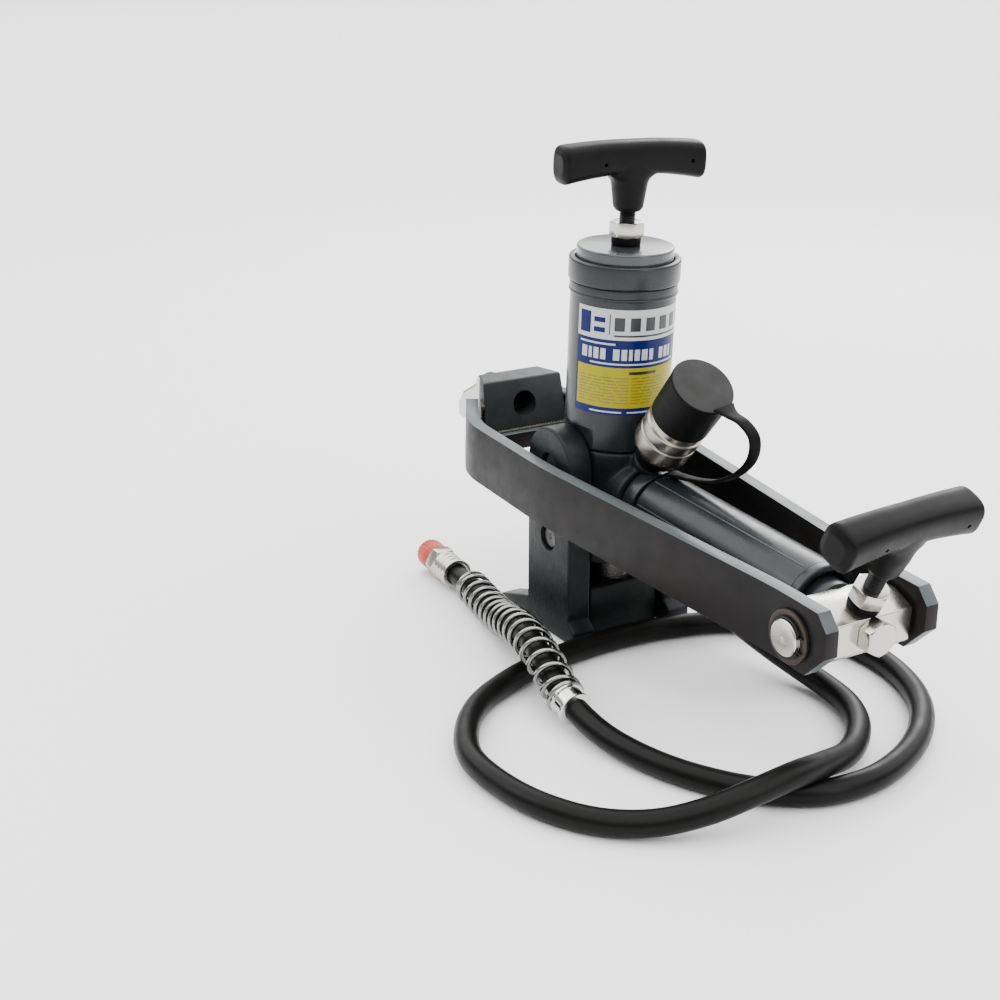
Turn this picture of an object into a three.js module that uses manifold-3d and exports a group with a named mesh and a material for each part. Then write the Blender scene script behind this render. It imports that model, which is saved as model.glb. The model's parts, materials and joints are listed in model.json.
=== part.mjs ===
// Hydraulic bead breaker for truck and tractor wheels.
//
// Millimetres, +Z up. The origin is on the ground under the main cylinder's axis. +X runs along
// the clamping cylinder towards its trunnion block, and -Y is the side that the hose loops round.
// The legs and the push foot stand square on the ground. Everything above them leans by LEAN.

import * as THREE from 'three';
import { mergeVertices } from 'three/addons/utils/BufferGeometryUtils.js';
import Module from 'manifold-3d';

const wasm = await Module();
wasm.setup();

// ---------------------------------------------------------------- driving dimensions

const LEAN = THREE.MathUtils.degToRad(2.8);
const GAP = 0.3; // between two pieces that touch
const ROUND = 24; // sides of a large round piece
const SMALL_ROUND = 16; // sides of a small one

const BODY = { r: 36, halfWidth: 29.5, bottom: 56, shoulder: 134, rodBore: 20, glandR: 24, glandTop: 75 };
const MAIN = { r: 34, bore: 27.5, top: 241, lidR: 31, lidTop: 263, ringR: 35.8, ringTop: 256 };
const SPIGOT = { r: 27.2, bottom: 232, grooveR: 25, grooveLow: 235, grooveHigh: 238 };
const MAIN_ROD = { r: 17, bottom: 12.3, pistonLow: 214, pistonHigh: 230, bore: 13.5, boreBottom: 60 };
const CLAMP = { z: 102.5, r: 24, bore: 19.3, start: 58, end: 206.5, ringR: 24.5, ringEnd: 213 };
const CLAMP_ROD = { r: 17.2, pistonStart: 66, pistonEnd: 82, bore: 12, boreEnd: 190 };
const NECK = { r: 21, end: 57.5, bossR: 26.5, bossEnd: 42.5 };

const REST_BAR = { rear: 29, front: 50, half: 45, low: 83, high: 91.7 };
const LEG = { inner: 30, outer: 47.7, half: 26, pinZ: 119, lowPinZ: 68.5, toeX: -64, heelX: 33 };
const LEG_PIN = { r: 8, from: 24.8, to: 45.5 };
const FOOT = { half: 22, halfWidth: 27, top: 35, pinR: 4, pinZ: 22 };

const PLATE = { thick: 9, low: 84.3, high: 123.7, end: 260 };
const PLATE_PLAN = [[PLATE.end, 40.3], [215, 40.3], [5, 61], [-94, 61], [-138, 37]]; // outer face
const BLOCK = { rear: 222.3, front: 251.5, half: 29, low: 89.5, high: 118, ridge: 236.6, lip: 112.1 };
const TRUNNION = { x: 232.5, z: 102, r: 10.5, end: 46.2, grooveR: 9.5, grooveLow: 43.2, grooveHigh: 44.6 };
const CLAW = { bottomX: -112, topX: -121, low: 103.6, high: 139.5, screwZ: 121, screwR: 9.1 };

const HANDLE = { washer: 5, nut: 15, neckR: 11.5, barR: 12.3, barHalf: 49.5, studR: 5.3 };
const TOP_HANDLE = { neck: 21.5, bar: 53.5, turn: THREE.MathUtils.degToRad(-7) };
const END_HANDLE = { neck: 27, bar: 60, turn: THREE.MathUtils.degToRad(3), x: 242.6, z: 115.6, lean: 22 };
const COUPLER = { x: 36.2, z: 124, lean: 36.6, sleeveLow: 23.7, capLow: 56, capTop: 89.3 };

const HOSE = { r: 7.5, sides: 10, step: 27 };
const HOSE_PORT = new THREE.Vector3(34, 10, 66);
const HOSE_AIM = new THREE.Vector3(0.86, 0.3, -0.41).normalize();

// Centre line of the hose from the port's ferrule, round its two loops, to the end fitting.
const HOSE_ROUTE = [
  [69.4, 21.5, 47], [87, 27.8, 37.5], [107, 35.5, 26.6], [128, 43.5, 17], [150, 49.5, 10.5],
  [172, 51, 8], [194, 47, 7.9], [214, 37, 7.9], [232, 20, 8.6], [247, -2, 12],
  [259, -30, 19.5], [265, -55, 23.6], [265, -82, 21], [260, -108, 15], [249, -134, 9.8],
  [231, -157, 7.9], [205, -174, 7.9], [172, -183, 7.9], [138, -183, 7.9], [109, -170, 7.9],
  [85, -149, 7.9], [68, -121, 7.9], [57, -92, 7.9], [50, -60, 7.9], [47, -28, 7.9],
  [48, 4, 7.9], [54, 34, 7.9], [67, 63, 7.9], [90, 87, 7.9], [121, 103, 7.9],
  [155, 107, 7.9], [188, 100, 7.9], [218, 84, 7.9], [243, 59, 7.9], [261, 28, 7.9],
  [270, -6, 7.9], [266, -38, 7.9], [248, -64, 7.9], [222, -84, 7.9], [190, -98, 8.2],
  [155, -106, 10.5], [120, -107, 16.5], [90, -103, 25.5], [60, -97, 29.5], [30, -90, 25.5],
  [0, -82.5, 17.5], [-30, -75.5, 13.2], [-62, -70, 12.9], [-92, -68, 12.9],
].map(([x, y, z]) => new THREE.Vector3(x, y, z));
const GUARD = { r: 12.4, bore: 9.2, start: 0.853, end: 0.982 }; // ends as fractions of the route
const COLLAR = { r: 11, length: 12, gap: 1 };

// ---------------------------------------------------------------- materials

const paint = new THREE.MeshStandardMaterial({ color: '#3d4449', roughness: 0.42, metalness: 0.25 });
const platePaint = new THREE.MeshStandardMaterial({ color: '#393b3e', roughness: 0.5, metalness: 0.25 });
const zinc = new THREE.MeshStandardMaterial({ color: '#c9c8bf', roughness: 0.35, metalness: 0.9 });
const chrome = new THREE.MeshStandardMaterial({ color: '#d4d4d2', roughness: 0.15, metalness: 1 });
const nickel = new THREE.MeshStandardMaterial({ color: '#b5aea3', roughness: 0.32, metalness: 0.9 });
const blackOxide = new THREE.MeshStandardMaterial({ color: '#232323', roughness: 0.45, metalness: 0.8 });
const blackPlastic = new THREE.MeshStandardMaterial({ color: '#2b2b2a', roughness: 0.6, metalness: 0 });
const blackRubber = new THREE.MeshStandardMaterial({ color: '#1e1d1b', roughness: 0.7, metalness: 0 });
const springSteel = new THREE.MeshStandardMaterial({ color: '#8f8f8c', roughness: 0.35, metalness: 1 });
const orangePlastic = new THREE.MeshStandardMaterial({ color: '#d9501c', roughness: 0.5, metalness: 0 });

// ---------------------------------------------------------------- solids

function solidOf(geometry) {
  const bare = geometry.clone();
  bare.deleteAttribute('normal');
  bare.deleteAttribute('uv');
  const merged = mergeVertices(bare, 1e-4);
  return new wasm.Manifold(new wasm.Mesh({
    numProp: 3,
    vertProperties: new Float32Array(merged.attributes.position.array),
    triVerts: new Uint32Array(merged.index.array),
  }));
}

function geometryOf(solid) {
  const mesh = solid.getMesh();
  const geometry = new THREE.BufferGeometry();
  geometry.setAttribute('position', new THREE.BufferAttribute(mesh.vertProperties, 3));
  geometry.setIndex(new THREE.BufferAttribute(mesh.triVerts, 1));
  geometry.computeVertexNormals();
  return geometry;
}

function join(first, ...others) {
  return geometryOf(others.reduce((solid, other) => solid.add(solidOf(other)), solidOf(first)));
}

function cut(first, ...others) {
  return geometryOf(others.reduce((solid, other) => solid.subtract(solidOf(other)), solidOf(first)));
}

function common(first, second) {
  return geometryOf(solidOf(first).intersect(solidOf(second)));
}

// A body turned about Z from an outline of [radius, height] points, listed up its outside.
function turned(outline, sides = ROUND) {
  const points = outline.map(([radius, height]) => new THREE.Vector2(radius, height));
  return new THREE.LatheGeometry(points, sides).rotateX(Math.PI / 2);
}

function rod(radius, low, high, sides = ROUND) {
  return turned([[0, low], [radius, low], [radius, high], [0, high]], sides);
}

function ring(outer, inner, low, high, sides = ROUND) {
  return turned([[inner, low], [outer, low], [outer, high], [inner, high], [inner, low]], sides);
}

function box(x0, x1, y0, y1, z0, z1) {
  const block = new THREE.BoxGeometry(x1 - x0, y1 - y0, z1 - z0);
  return block.translate((x0 + x1) / 2, (y0 + y1) / 2, (z0 + z1) / 2);
}

function hexagon(acrossFlats, low, high) {
  const corner = acrossFlats / Math.sqrt(3);
  return turned([[0, low], [corner, low], [corner, high], [0, high]], 6);
}

// An outline of [x, z] points, extruded along Y.
function sidePrism(outline, y0, y1) {
  const shape = new THREE.Shape(outline.map(([x, z]) => new THREE.Vector2(x, z)));
  const prism = new THREE.ExtrudeGeometry(shape, { depth: y1 - y0, bevelEnabled: false });
  return prism.rotateX(Math.PI / 2).translate(0, y1, 0);
}

// An outline of [x, y] points, extruded along Z.
function planPrism(outline, z0, z1) {
  const shape = new THREE.Shape(outline.map(([x, y]) => new THREE.Vector2(x, y)));
  return new THREE.ExtrudeGeometry(shape, { depth: z1 - z0, bevelEnabled: false }).translate(0, 0, z0);
}

// Points of an arc in [x, z], from one angle to another in degrees.
function arc(x, z, radius, from, to, steps) {
  const points = [];
  for (let i = 0; i <= steps; i += 1) {
    const angle = THREE.MathUtils.degToRad(from + ((to - from) * i) / steps);
    points.push([x + radius * Math.cos(angle), z + radius * Math.sin(angle)]);
  }
  return points;
}

// Turns a Z-axis solid so that its axis points along +X.
function alongX(geometry) {
  return geometry.rotateY(Math.PI / 2);
}

// Turns a Z-axis solid so that its axis points along side * Y.
function alongY(geometry, side = 1) {
  return geometry.rotateX(side > 0 ? -Math.PI / 2 : Math.PI / 2);
}

function circleShape(radius, sides, hole = 0) {
  const points = (r) => Array.from({ length: sides }, (_, i) => {
    const angle = (2 * Math.PI * i) / sides;
    return new THREE.Vector2(r * Math.cos(angle), r * Math.sin(angle));
  });
  const shape = new THREE.Shape(points(radius));
  if (hole > 0) shape.holes.push(new THREE.Path(points(hole).reverse()));
  return shape;
}

function swept(shape, points, steps) {
  const path = new THREE.CatmullRomCurve3(points, false, 'centripetal');
  return new THREE.ExtrudeGeometry(shape, { steps, extrudePath: path, bevelEnabled: false });
}

const model = new THREE.Group(); // square to the ground
const tool = new THREE.Group(); // leans with the cylinders
tool.rotation.y = LEAN;
model.add(tool);

function add(parent, name, geometry, material) {
  const mesh = new THREE.Mesh(geometry, material);
  mesh.name = name;
  parent.add(mesh);
  return mesh;
}

// A point square to the ground, in the leaning frame's [x, z].
function leaning(x, z) {
  return [x * Math.cos(LEAN) - z * Math.sin(LEAN), x * Math.sin(LEAN) + z * Math.cos(LEAN)];
}

function axisGroup(parent, x, y, z, lean) {
  const group = new THREE.Group();
  group.position.set(x, y, z);
  group.rotation.y = THREE.MathUtils.degToRad(lean);
  parent.add(group);
  return group;
}

// ---------------------------------------------------------------- body casting

function couplerAxis(geometry) {
  return geometry.rotateY(THREE.MathUtils.degToRad(COUPLER.lean)).translate(COUPLER.x, 0, COUPLER.z);
}

function portAxis(geometry) {
  const turn = new THREE.Quaternion().setFromUnitVectors(new THREE.Vector3(0, 0, 1), HOSE_AIM);
  return geometry.applyQuaternion(turn).translate(HOSE_PORT.x, HOSE_PORT.y, HOSE_PORT.z);
}

function pinHole(x, z, side) {
  const hole = alongY(rod(LEG_PIN.r + GAP, LEG_PIN.from - GAP, LEG.inner, SMALL_ROUND), side);
  const [toolX, toolZ] = leaning(x, z);
  return hole.translate(toolX, 0, toolZ);
}

// The bar across the body that the yoke's lugs rest on, grown by a clearance where it makes its slot.
function restBar(clearance) {
  const { low, high, rear, front, half } = REST_BAR;
  return box(rear - clearance, front + clearance, -half, half, low - clearance, high + clearance);
}

function bodyCasting() {
  const { r, halfWidth, bottom, shoulder } = BODY;
  const barrel = turned([[0, bottom], [r - 2, bottom], [r, bottom + 2], [r, shoulder - 2], [r - 2, shoulder],
    [0, shoulder]]);
  const flats = box(-r - 1, r + 1, -halfWidth, halfWidth, bottom - 1, shoulder + 1);
  const boss = alongX(rod(NECK.bossR, 0, NECK.bossEnd)).translate(0, 0, CLAMP.z);
  const neck = alongX(rod(NECK.r, 20, NECK.end)).translate(0, 0, CLAMP.z);
  const couplerBoss = couplerAxis(rod(11.5, -20, 9.5, SMALL_ROUND));
  const solid = join(common(barrel, flats), boss, neck, couplerBoss);
  return cut(
    solid,
    rod(BODY.rodBore, bottom - 1, shoulder + 1),
    rod(BODY.glandR, bottom - 1, BODY.glandTop),
    rod(MAIN.r + GAP, shoulder, shoulder + 20),
    alongX(rod(7, 0, NECK.end + 1, SMALL_ROUND)).translate(0, 0, CLAMP.z),
    couplerAxis(rod(7, -24, 10, SMALL_ROUND)),
    portAxis(rod(7, -16, 9, SMALL_ROUND)),
    restBar(GAP),
    ...[-1, 1].flatMap((side) => [pinHole(0, LEG.pinZ, side), pinHole(0, LEG.lowPinZ, side)]),
  );
}

add(tool, 'body_casting', bodyCasting(), paint);
add(tool, 'yoke_rest_bar', restBar(0), paint);

// ---------------------------------------------------------------- main cylinder

function mainTube() {
  const tube = ring(MAIN.r, MAIN.bore, BODY.shoulder + GAP, MAIN.top);
  const low = BODY.shoulder;
  const high = 148.5;
  const wide = MAIN.r + 1;
  return cut(
    tube,
    box(-wide, wide, BODY.halfWidth, wide, low, high),
    box(-wide, wide, -wide, -BODY.halfWidth, low, high),
  );
}

function lid() {
  const { r, bottom, grooveR, grooveLow, grooveHigh } = SPIGOT;
  const studHole = 249;
  return turned([
    [0, bottom], [r, bottom], [r, grooveLow], [grooveR, grooveLow], [grooveR, grooveHigh],
    [r, grooveHigh], [r, MAIN.top + GAP], [MAIN.lidR, MAIN.top + GAP], [MAIN.lidR, MAIN.lidTop - 0.8],
    [MAIN.lidR - 0.8, MAIN.lidTop], [HANDLE.studR + GAP, MAIN.lidTop], [HANDLE.studR + GAP, studHole],
    [0, studHole],
  ]);
}

function mainPlunger() {
  const { r, bottom, pistonLow, pistonHigh, bore, boreBottom } = MAIN_ROD;
  const body = turned([
    [0, bottom], [r, bottom], [r, pistonLow], [MAIN.bore - GAP, pistonLow],
    [MAIN.bore - GAP, pistonHigh], [bore, pistonHigh], [bore, boreBottom], [0, boreBottom],
  ]);
  return cut(body, footPin(GAP, 1));
}

add(tool, 'main_cylinder_tube', mainTube(), paint);
add(tool, 'main_cylinder_collar', turned([
  [MAIN.lidR + GAP, MAIN.top + GAP], [MAIN.ringR, MAIN.top + GAP], [MAIN.ringR, MAIN.ringTop - 1.2],
  [MAIN.ringR - 1.2, MAIN.ringTop], [MAIN.lidR + GAP, MAIN.ringTop], [MAIN.lidR + GAP, MAIN.top + GAP],
]), paint);
add(tool, 'main_cylinder_lid', lid(), paint);
add(tool, 'lid_seal', ring(
  MAIN.bore - 0.1, SPIGOT.grooveR + 0.2, SPIGOT.grooveLow + GAP, SPIGOT.grooveHigh - GAP,
), blackRubber);
add(tool, 'main_gland', ring(BODY.glandR - GAP, MAIN_ROD.r + GAP, BODY.bottom + GAP, 70), nickel);
add(tool, 'main_rod_wiper', ring(BODY.glandR - GAP, MAIN_ROD.r + 0.1, 70.3, 74.6), blackRubber);
add(tool, 'main_plunger', mainPlunger(), chrome);
add(tool, 'main_return_spring', ring(12.6, 9.8, 62, 229, 16), springSteel);

// ---------------------------------------------------------------- clamping cylinder

const clamp = new THREE.Group(); // its Z axis is the cylinder's axis, with z = 0 at X = 0
clamp.position.z = CLAMP.z;
clamp.rotation.y = Math.PI / 2;
tool.add(clamp);

function clampTube() {
  const { r, bore, start, end } = CLAMP;
  return turned([[7, start], [r - 1, start], [r, start + 1], [r, end], [bore, end], [bore, start + 6],
    [7, start + 6], [7, start]]);
}

function clampFrontRing() {
  const { bore, end, ringR, ringEnd } = CLAMP;
  return turned([[bore, end + GAP], [ringR, end + GAP], [ringR, ringEnd - 1], [ringR - 1, ringEnd],
    [bore + 1.7, ringEnd], [bore, ringEnd - 1.7], [bore, end + GAP]]);
}

function clampPlunger() {
  const { r, pistonStart, pistonEnd, bore, boreEnd } = CLAMP_ROD;
  const end = BLOCK.rear - GAP;
  const boltHole = 204;
  const body = turned([[bore, pistonStart], [CLAMP.bore - GAP, pistonStart], [CLAMP.bore - GAP, pistonEnd],
    [r, pistonEnd], [r, end], [0, end], [0, boreEnd], [bore, boreEnd], [bore, pistonStart]]);
  return cut(body, rod(6 + GAP, boltHole, end + 1, SMALL_ROUND));
}

add(clamp, 'clamp_cylinder_tube', clampTube(), paint);
add(clamp, 'clamp_front_ring', clampFrontRing(), paint);
add(clamp, 'clamp_rod_wiper', ring(CLAMP.bore - 0.2, CLAMP_ROD.r + 0.1, 204, 210.5), blackRubber);
add(clamp, 'clamp_plunger', clampPlunger(), paint);
add(clamp, 'clamp_return_spring', ring(11.2, 8.6, 68, 188, 16), springSteel);

// ---------------------------------------------------------------- trunnion block

const END_HANDLE_AXIS = THREE.MathUtils.degToRad(END_HANDLE.lean);

function stubPin(side) {
  const { r, end, grooveR, grooveLow, grooveHigh } = TRUNNION;
  const pin = turned([[0, 20], [r, 20], [r, grooveLow], [grooveR, grooveLow], [grooveR, grooveHigh],
    [r, grooveHigh], [r, end - 0.8], [r - 0.8, end], [0, end]], 24);
  return alongY(pin, side).translate(TRUNNION.x, 0, TRUNNION.z);
}

function trunnionBlock() {
  const { rear, front, half, low, high, ridge, lip } = BLOCK;
  const outline = [[rear, low], [front - 3, low], [front, low + 3], [front, lip], [ridge, high],
    [rear, high]];
  const studHole = rod(HANDLE.studR + GAP, -4, 3, SMALL_ROUND).rotateY(END_HANDLE_AXIS)
    .translate(END_HANDLE.x, 0, END_HANDLE.z);
  return cut(
    join(sidePrism(outline, -half, half), stubPin(-1), stubPin(1)),
    alongX(rod(6 + GAP, rear - 1, front + 1, SMALL_ROUND)).translate(0, 0, CLAMP.z),
    studHole,
  );
}

function circlip(side) {
  const band = ring(13.4, TRUNNION.grooveR + 0.2, TRUNNION.grooveLow + GAP, TRUNNION.grooveHigh - GAP, 24);
  return alongY(cut(band, box(0, 20, -2.5, 2.5, 40, 50)), side);
}

add(tool, 'trunnion_block', trunnionBlock(), zinc);
add(tool, 'clamp_bolt', alongX(join(
  rod(6, 205, BLOCK.front + GAP + 1, SMALL_ROUND),
  hexagon(19, BLOCK.front + GAP, BLOCK.front + 9),
)).translate(0, 0, CLAMP.z), zinc);
for (const [word, side] of [['near', -1], ['far', 1]]) {
  const washer = alongY(ring(15.5, TRUNNION.r + GAP, 40.7, 42.9, 24), side);
  add(tool, `trunnion_washer_${word}`, washer.translate(TRUNNION.x, 0, TRUNNION.z), platePaint);
  add(tool, `trunnion_circlip_${word}`, circlip(side).translate(TRUNNION.x, 0, TRUNNION.z), springSteel);
}

// ---------------------------------------------------------------- T-handles

function handleGrip(neckLow, barZ) {
  const { neckR, barR, barHalf, studR } = HANDLE;
  const neck = turned([[0, neckLow], [8, neckLow], [neckR - 2, neckLow + 3], [neckR, neckLow + 12],
    [neckR, barZ], [0, barZ]], 24);
  const bar = turned([[0, -barHalf], [8.5, -barHalf], [barR, -barHalf + 7], [barR, barHalf - 7],
    [8.5, barHalf], [0, barHalf]], 24).rotateX(Math.PI / 2).translate(0, 0, barZ);
  return cut(join(neck, bar), rod(studR + GAP, neckLow - 1, barZ - 3, SMALL_ROUND));
}

function addHandle(parent, prefix, neckLow, barZ, studLow, turn) {
  const group = new THREE.Group();
  group.rotation.z = turn;
  parent.add(group);
  const hole = HANDLE.studR + GAP;
  add(group, `${prefix}_grip`, handleGrip(neckLow, barZ), blackPlastic);
  add(group, `${prefix}_stud`, rod(HANDLE.studR, studLow, barZ - 4, SMALL_ROUND), blackOxide);
  add(group, `${prefix}_washer`, ring(9.5, hole, GAP, HANDLE.washer), blackRubber);
  add(group, `${prefix}_lock_nut`, cut(
    hexagon(19, HANDLE.washer + GAP, HANDLE.nut),
    rod(hole, HANDLE.washer - 1, HANDLE.nut + 1, SMALL_ROUND),
  ), zinc);
}

const topHandleSeat = axisGroup(tool, 0, 0, MAIN.lidTop, 0);
addHandle(topHandleSeat, 'top_handle', TOP_HANDLE.neck, TOP_HANDLE.bar, -13, TOP_HANDLE.turn);
const endHandleSeat = axisGroup(tool, END_HANDLE.x, 0, END_HANDLE.z, END_HANDLE.lean);
addHandle(endHandleSeat, 'end_handle', END_HANDLE.neck, END_HANDLE.bar, -3.6, END_HANDLE.turn);

// ---------------------------------------------------------------- coupler

const coupler = axisGroup(tool, COUPLER.x, 0, COUPLER.z, COUPLER.lean);

function couplerNipple() {
  return join(rod(6.6, -10, 12, SMALL_ROUND), hexagon(17, 11, 14.6), rod(9, 14, 76, SMALL_ROUND));
}

function couplerSleeve() {
  const { sleeveLow, capLow } = COUPLER;
  const high = capLow - GAP;
  return turned([[9.8, sleeveLow], [18, sleeveLow], [19.3, sleeveLow + 1.3], [19.3, high - 6],
    [17.8, high - 4.5], [17.8, high], [9.8, high], [9.8, sleeveLow]]);
}

function dustCap() {
  const { capLow, capTop } = COUPLER;
  const cavityTop = 79;
  return turned([[12, capLow], [19.6, capLow], [20, capTop - 1.5], [18.5, capTop], [0, capTop],
    [0, cavityTop], [12, cavityTop], [12, capLow]]);
}

add(coupler, 'coupler_nipple', couplerNipple(), nickel);
add(coupler, 'coupler_strap_ring', ring(13.4, 9.8, 15, 21.5, 24), blackRubber);
add(coupler, 'coupler_sleeve', couplerSleeve(), nickel);
add(coupler, 'dust_cap', dustCap(), blackRubber);

function capStrap() {
  const route = [[61.2, 2, 129], [70, 3, 129.6], [81, 6, 131.5], [97, 10, 137], [114, 13, 149],
    [124, 15, 166], [122, 16.5, 181], [113, 17.5, 188], [103.5, 17.5, 188.6]];
  const half = { wide: 4, thick: 1 };
  const section = new THREE.Shape([[-half.thick, -half.wide], [half.thick, -half.wide],
    [half.thick, half.wide], [-half.thick, half.wide]].map(([x, y]) => new THREE.Vector2(x, y)));
  return swept(section, route.map((point) => new THREE.Vector3(...point)), 26);
}

add(tool, 'cap_strap', capStrap(), blackRubber);

// ---------------------------------------------------------------- legs and push foot

function leg(side) {
  const { inner, outer, half, pinZ, lowPinZ, toeX, heelX } = LEG;
  const outline = [[toeX, 0], [heelX, 0], [heelX, 10], [half, 16], ...arc(0, pinZ, half, 0, 180, 16),
    [-half, 17], [toeX, 4.5]];
  const [y0, y1] = side > 0 ? [inner, outer] : [-outer, -inner];
  const pinRoom = rod(LEG_PIN.r + GAP, inner - 1, outer + 1, SMALL_ROUND);
  const hole = (z) => alongY(pinRoom.clone(), side).translate(0, 0, z);
  return cut(sidePrism(outline, y0, y1), hole(pinZ), hole(lowPinZ));
}

function legPin(side, z) {
  return alongY(rod(LEG_PIN.r, LEG_PIN.from, LEG_PIN.to, SMALL_ROUND), side).translate(0, 0, z);
}

for (const [word, side] of [['near', -1], ['far', 1]]) {
  add(model, `leg_${word}`, leg(side), platePaint);
  add(model, `leg_upper_pin_${word}`, legPin(side, LEG.pinZ), nickel);
  add(model, `leg_lower_pin_${word}`, legPin(side, LEG.lowPinZ), nickel);
}

function pushFoot() {
  const { half, halfWidth, top } = FOOT;
  const outline = [[-half, 0], [half, 0], [half, top - 2], [half - 2, top], [-half + 2, top],
    [-half, top - 2]];
  const socket = rod(MAIN_ROD.r + GAP, MAIN_ROD.bottom - GAP, 60).rotateY(LEAN);
  return cut(sidePrism(outline, -halfWidth, halfWidth), socket, footPin(GAP, 1).rotateY(LEAN));
}

// The cross pin through the foot and the plunger, grown by a clearance where it makes its hole.
function footPin(clearance, overshoot) {
  const reach = FOOT.halfWidth - 1 + overshoot;
  const { pinR, pinZ } = FOOT;
  return alongY(rod(pinR + clearance, -reach, reach, SMALL_ROUND)).translate(0, 0, pinZ);
}

add(model, 'push_foot', pushFoot(), paint);
add(tool, 'push_foot_pin', footPin(0, 0), nickel);

// ---------------------------------------------------------------- clamping yoke

// The outline offset to its inner side by the plate's thickness.
function offsetInside(outline, distance) {
  return outline.map(([x, y], i) => {
    const before = outline[Math.max(i - 1, 0)];
    const after = outline[Math.min(i + 1, outline.length - 1)];
    const normals = [[before, outline[i]], [outline[i], after]]
      .filter(([a, b]) => a !== b)
      .map(([a, b]) => new THREE.Vector2(b[1] - a[1], a[0] - b[0]).normalize());
    const mean = normals.reduce((sum, normal) => sum.add(normal), new THREE.Vector2()).normalize();
    const length = distance / mean.dot(normals[0].clone().normalize());
    return [x - mean.x * length, y - mean.y * length];
  });
}

function yokePlate(side) {
  const outer = PLATE_PLAN;
  const inner = offsetInside(outer, PLATE.thick);
  const plan = [...outer, ...inner.reverse()].map(([x, y]) => [x, side * y]);
  const { low, high, end } = PLATE;
  const outline = [[-145, low], [246, low], [end, 100], [end - 1, 115], [end - 9, high],
    [-145, high]];
  const plate = common(planPrism(plan, low - 5, high + 5), sidePrism(outline, -70, 70));
  const hole = alongY(rod(TRUNNION.r + GAP, 20, 60, 24), side).translate(TRUNNION.x, 0, TRUNNION.z);
  return cut(plate, hole);
}

function clawBlock() {
  const { bottomX, topX, low, high, screwZ, screwR } = CLAW;
  const outline = [[bottomX, low], [topX, high], [-141, high], [-146, 131], [-166, 119], [-174, 109],
    [-172, 99], [-164, 98], [-156, 106], [-146, low]];
  const plan = [[bottomX, -35], [bottomX, 35], [topX, 32.5], [-139, 25.5], [-174, 24], [-174, -24],
    [-139, -25.5], [topX, -32.5]];
  const block = common(sidePrism(outline, -40, 40), planPrism(plan, 90, 145));
  return cut(block, alongX(rod(screwR + GAP, -180, -100, 24)).translate(0, 0, screwZ));
}

function clawScrew() {
  const screw = rod(CLAW.screwR, -170, -127, 24);
  const socket = hexagon(8, -135, -126);
  return alongX(cut(screw, socket)).translate(0, 0, CLAW.screwZ);
}

function crossPlate() {
  const plan = [[-106, -43], [-106, 43], [-119, 36.2], [-119, -36.2]];
  return planPrism(plan, 90.5, CLAW.low - GAP);
}

for (const [word, side] of [['near', -1], ['far', 1]]) {
  add(tool, `yoke_plate_${word}`, yokePlate(side), platePaint);
  const [y0, y1] = side > 0 ? [38, 47.6] : [-47.6, -38];
  add(tool, `yoke_rest_lug_${word}`, box(34, 46, y0, y1, REST_BAR.high + GAP, 100), platePaint);
}
add(tool, 'claw_block', clawBlock(), paint);
add(tool, 'claw_screw', clawScrew(), nickel);
add(tool, 'claw_cross_plate', crossPlate(), platePaint);

// ---------------------------------------------------------------- hose

const hosePath = new THREE.CatmullRomCurve3(HOSE_ROUTE, false, 'centripetal');

// Points of the hose's centre line between two fractions of its length.
function stretch(from, to, count) {
  return Array.from({ length: count }, (_, i) => hosePath.getPointAt(from + ((to - from) * i) / (count - 1)));
}

const hoseLength = hosePath.getLength();
const collarEnd = GUARD.start - COLLAR.gap / hoseLength;
const collarStart = collarEnd - COLLAR.length / hoseLength;
const hoseSteps = Math.round(hoseLength / HOSE.step);

add(model, 'hydraulic_hose', swept(circleShape(HOSE.r, HOSE.sides), HOSE_ROUTE, hoseSteps), blackRubber);
add(model, 'hose_guard_collar', swept(
  circleShape(COLLAR.r, 16, GUARD.bore), stretch(collarStart, collarEnd, 4), 2,
), chrome);
add(model, 'hose_spring_guard', swept(
  circleShape(GUARD.r, 14, GUARD.bore), stretch(GUARD.start, GUARD.end, 24), 14,
), springSteel);

add(tool, 'hose_port_fitting', portAxis(join(
  rod(6.6, -10, 9, SMALL_ROUND), hexagon(19, 8, 17), rod(8.5, 16, 23, SMALL_ROUND),
)), zinc);
add(tool, 'hose_port_ferrule', portAxis(ring(10.5, HOSE.r + GAP, 23.4, 44, SMALL_ROUND)), zinc);

// The end fitting lies on the ground in line with the last stretch of hose.
const hoseEnd = HOSE_ROUTE[HOSE_ROUTE.length - 1];
const hoseEndAim = new THREE.Vector3().subVectors(hoseEnd, HOSE_ROUTE[HOSE_ROUTE.length - 2]).normalize();

function onHoseEnd(geometry) {
  const turn = new THREE.Quaternion().setFromUnitVectors(new THREE.Vector3(0, 0, 1), hoseEndAim);
  return geometry.applyQuaternion(turn).translate(hoseEnd.x, hoseEnd.y, hoseEnd.z);
}

add(model, 'hose_end_ferrule', onHoseEnd(ring(11, HOSE.r + GAP, -2, 18, SMALL_ROUND)), zinc);
add(model, 'hose_end_fitting', onHoseEnd(join(
  rod(7, 1, 20, SMALL_ROUND), hexagon(21, 18.5, 29), rod(7.5, 28, 44, SMALL_ROUND),
)), zinc);
add(model, 'hose_end_cap', onHoseEnd(cut(
  rod(10.5, 29.4, 48, SMALL_ROUND), rod(7.5 + GAP, 29, 45, SMALL_ROUND),
)), orangePlastic);

export default model;
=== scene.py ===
"""Looks for the hydraulic bead breaker. Sizes in the builders are millimetres, placed by a frame matrix."""

import json
import math

import bmesh
import bpy
import numpy as np
from mathutils import Matrix, Vector


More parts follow.
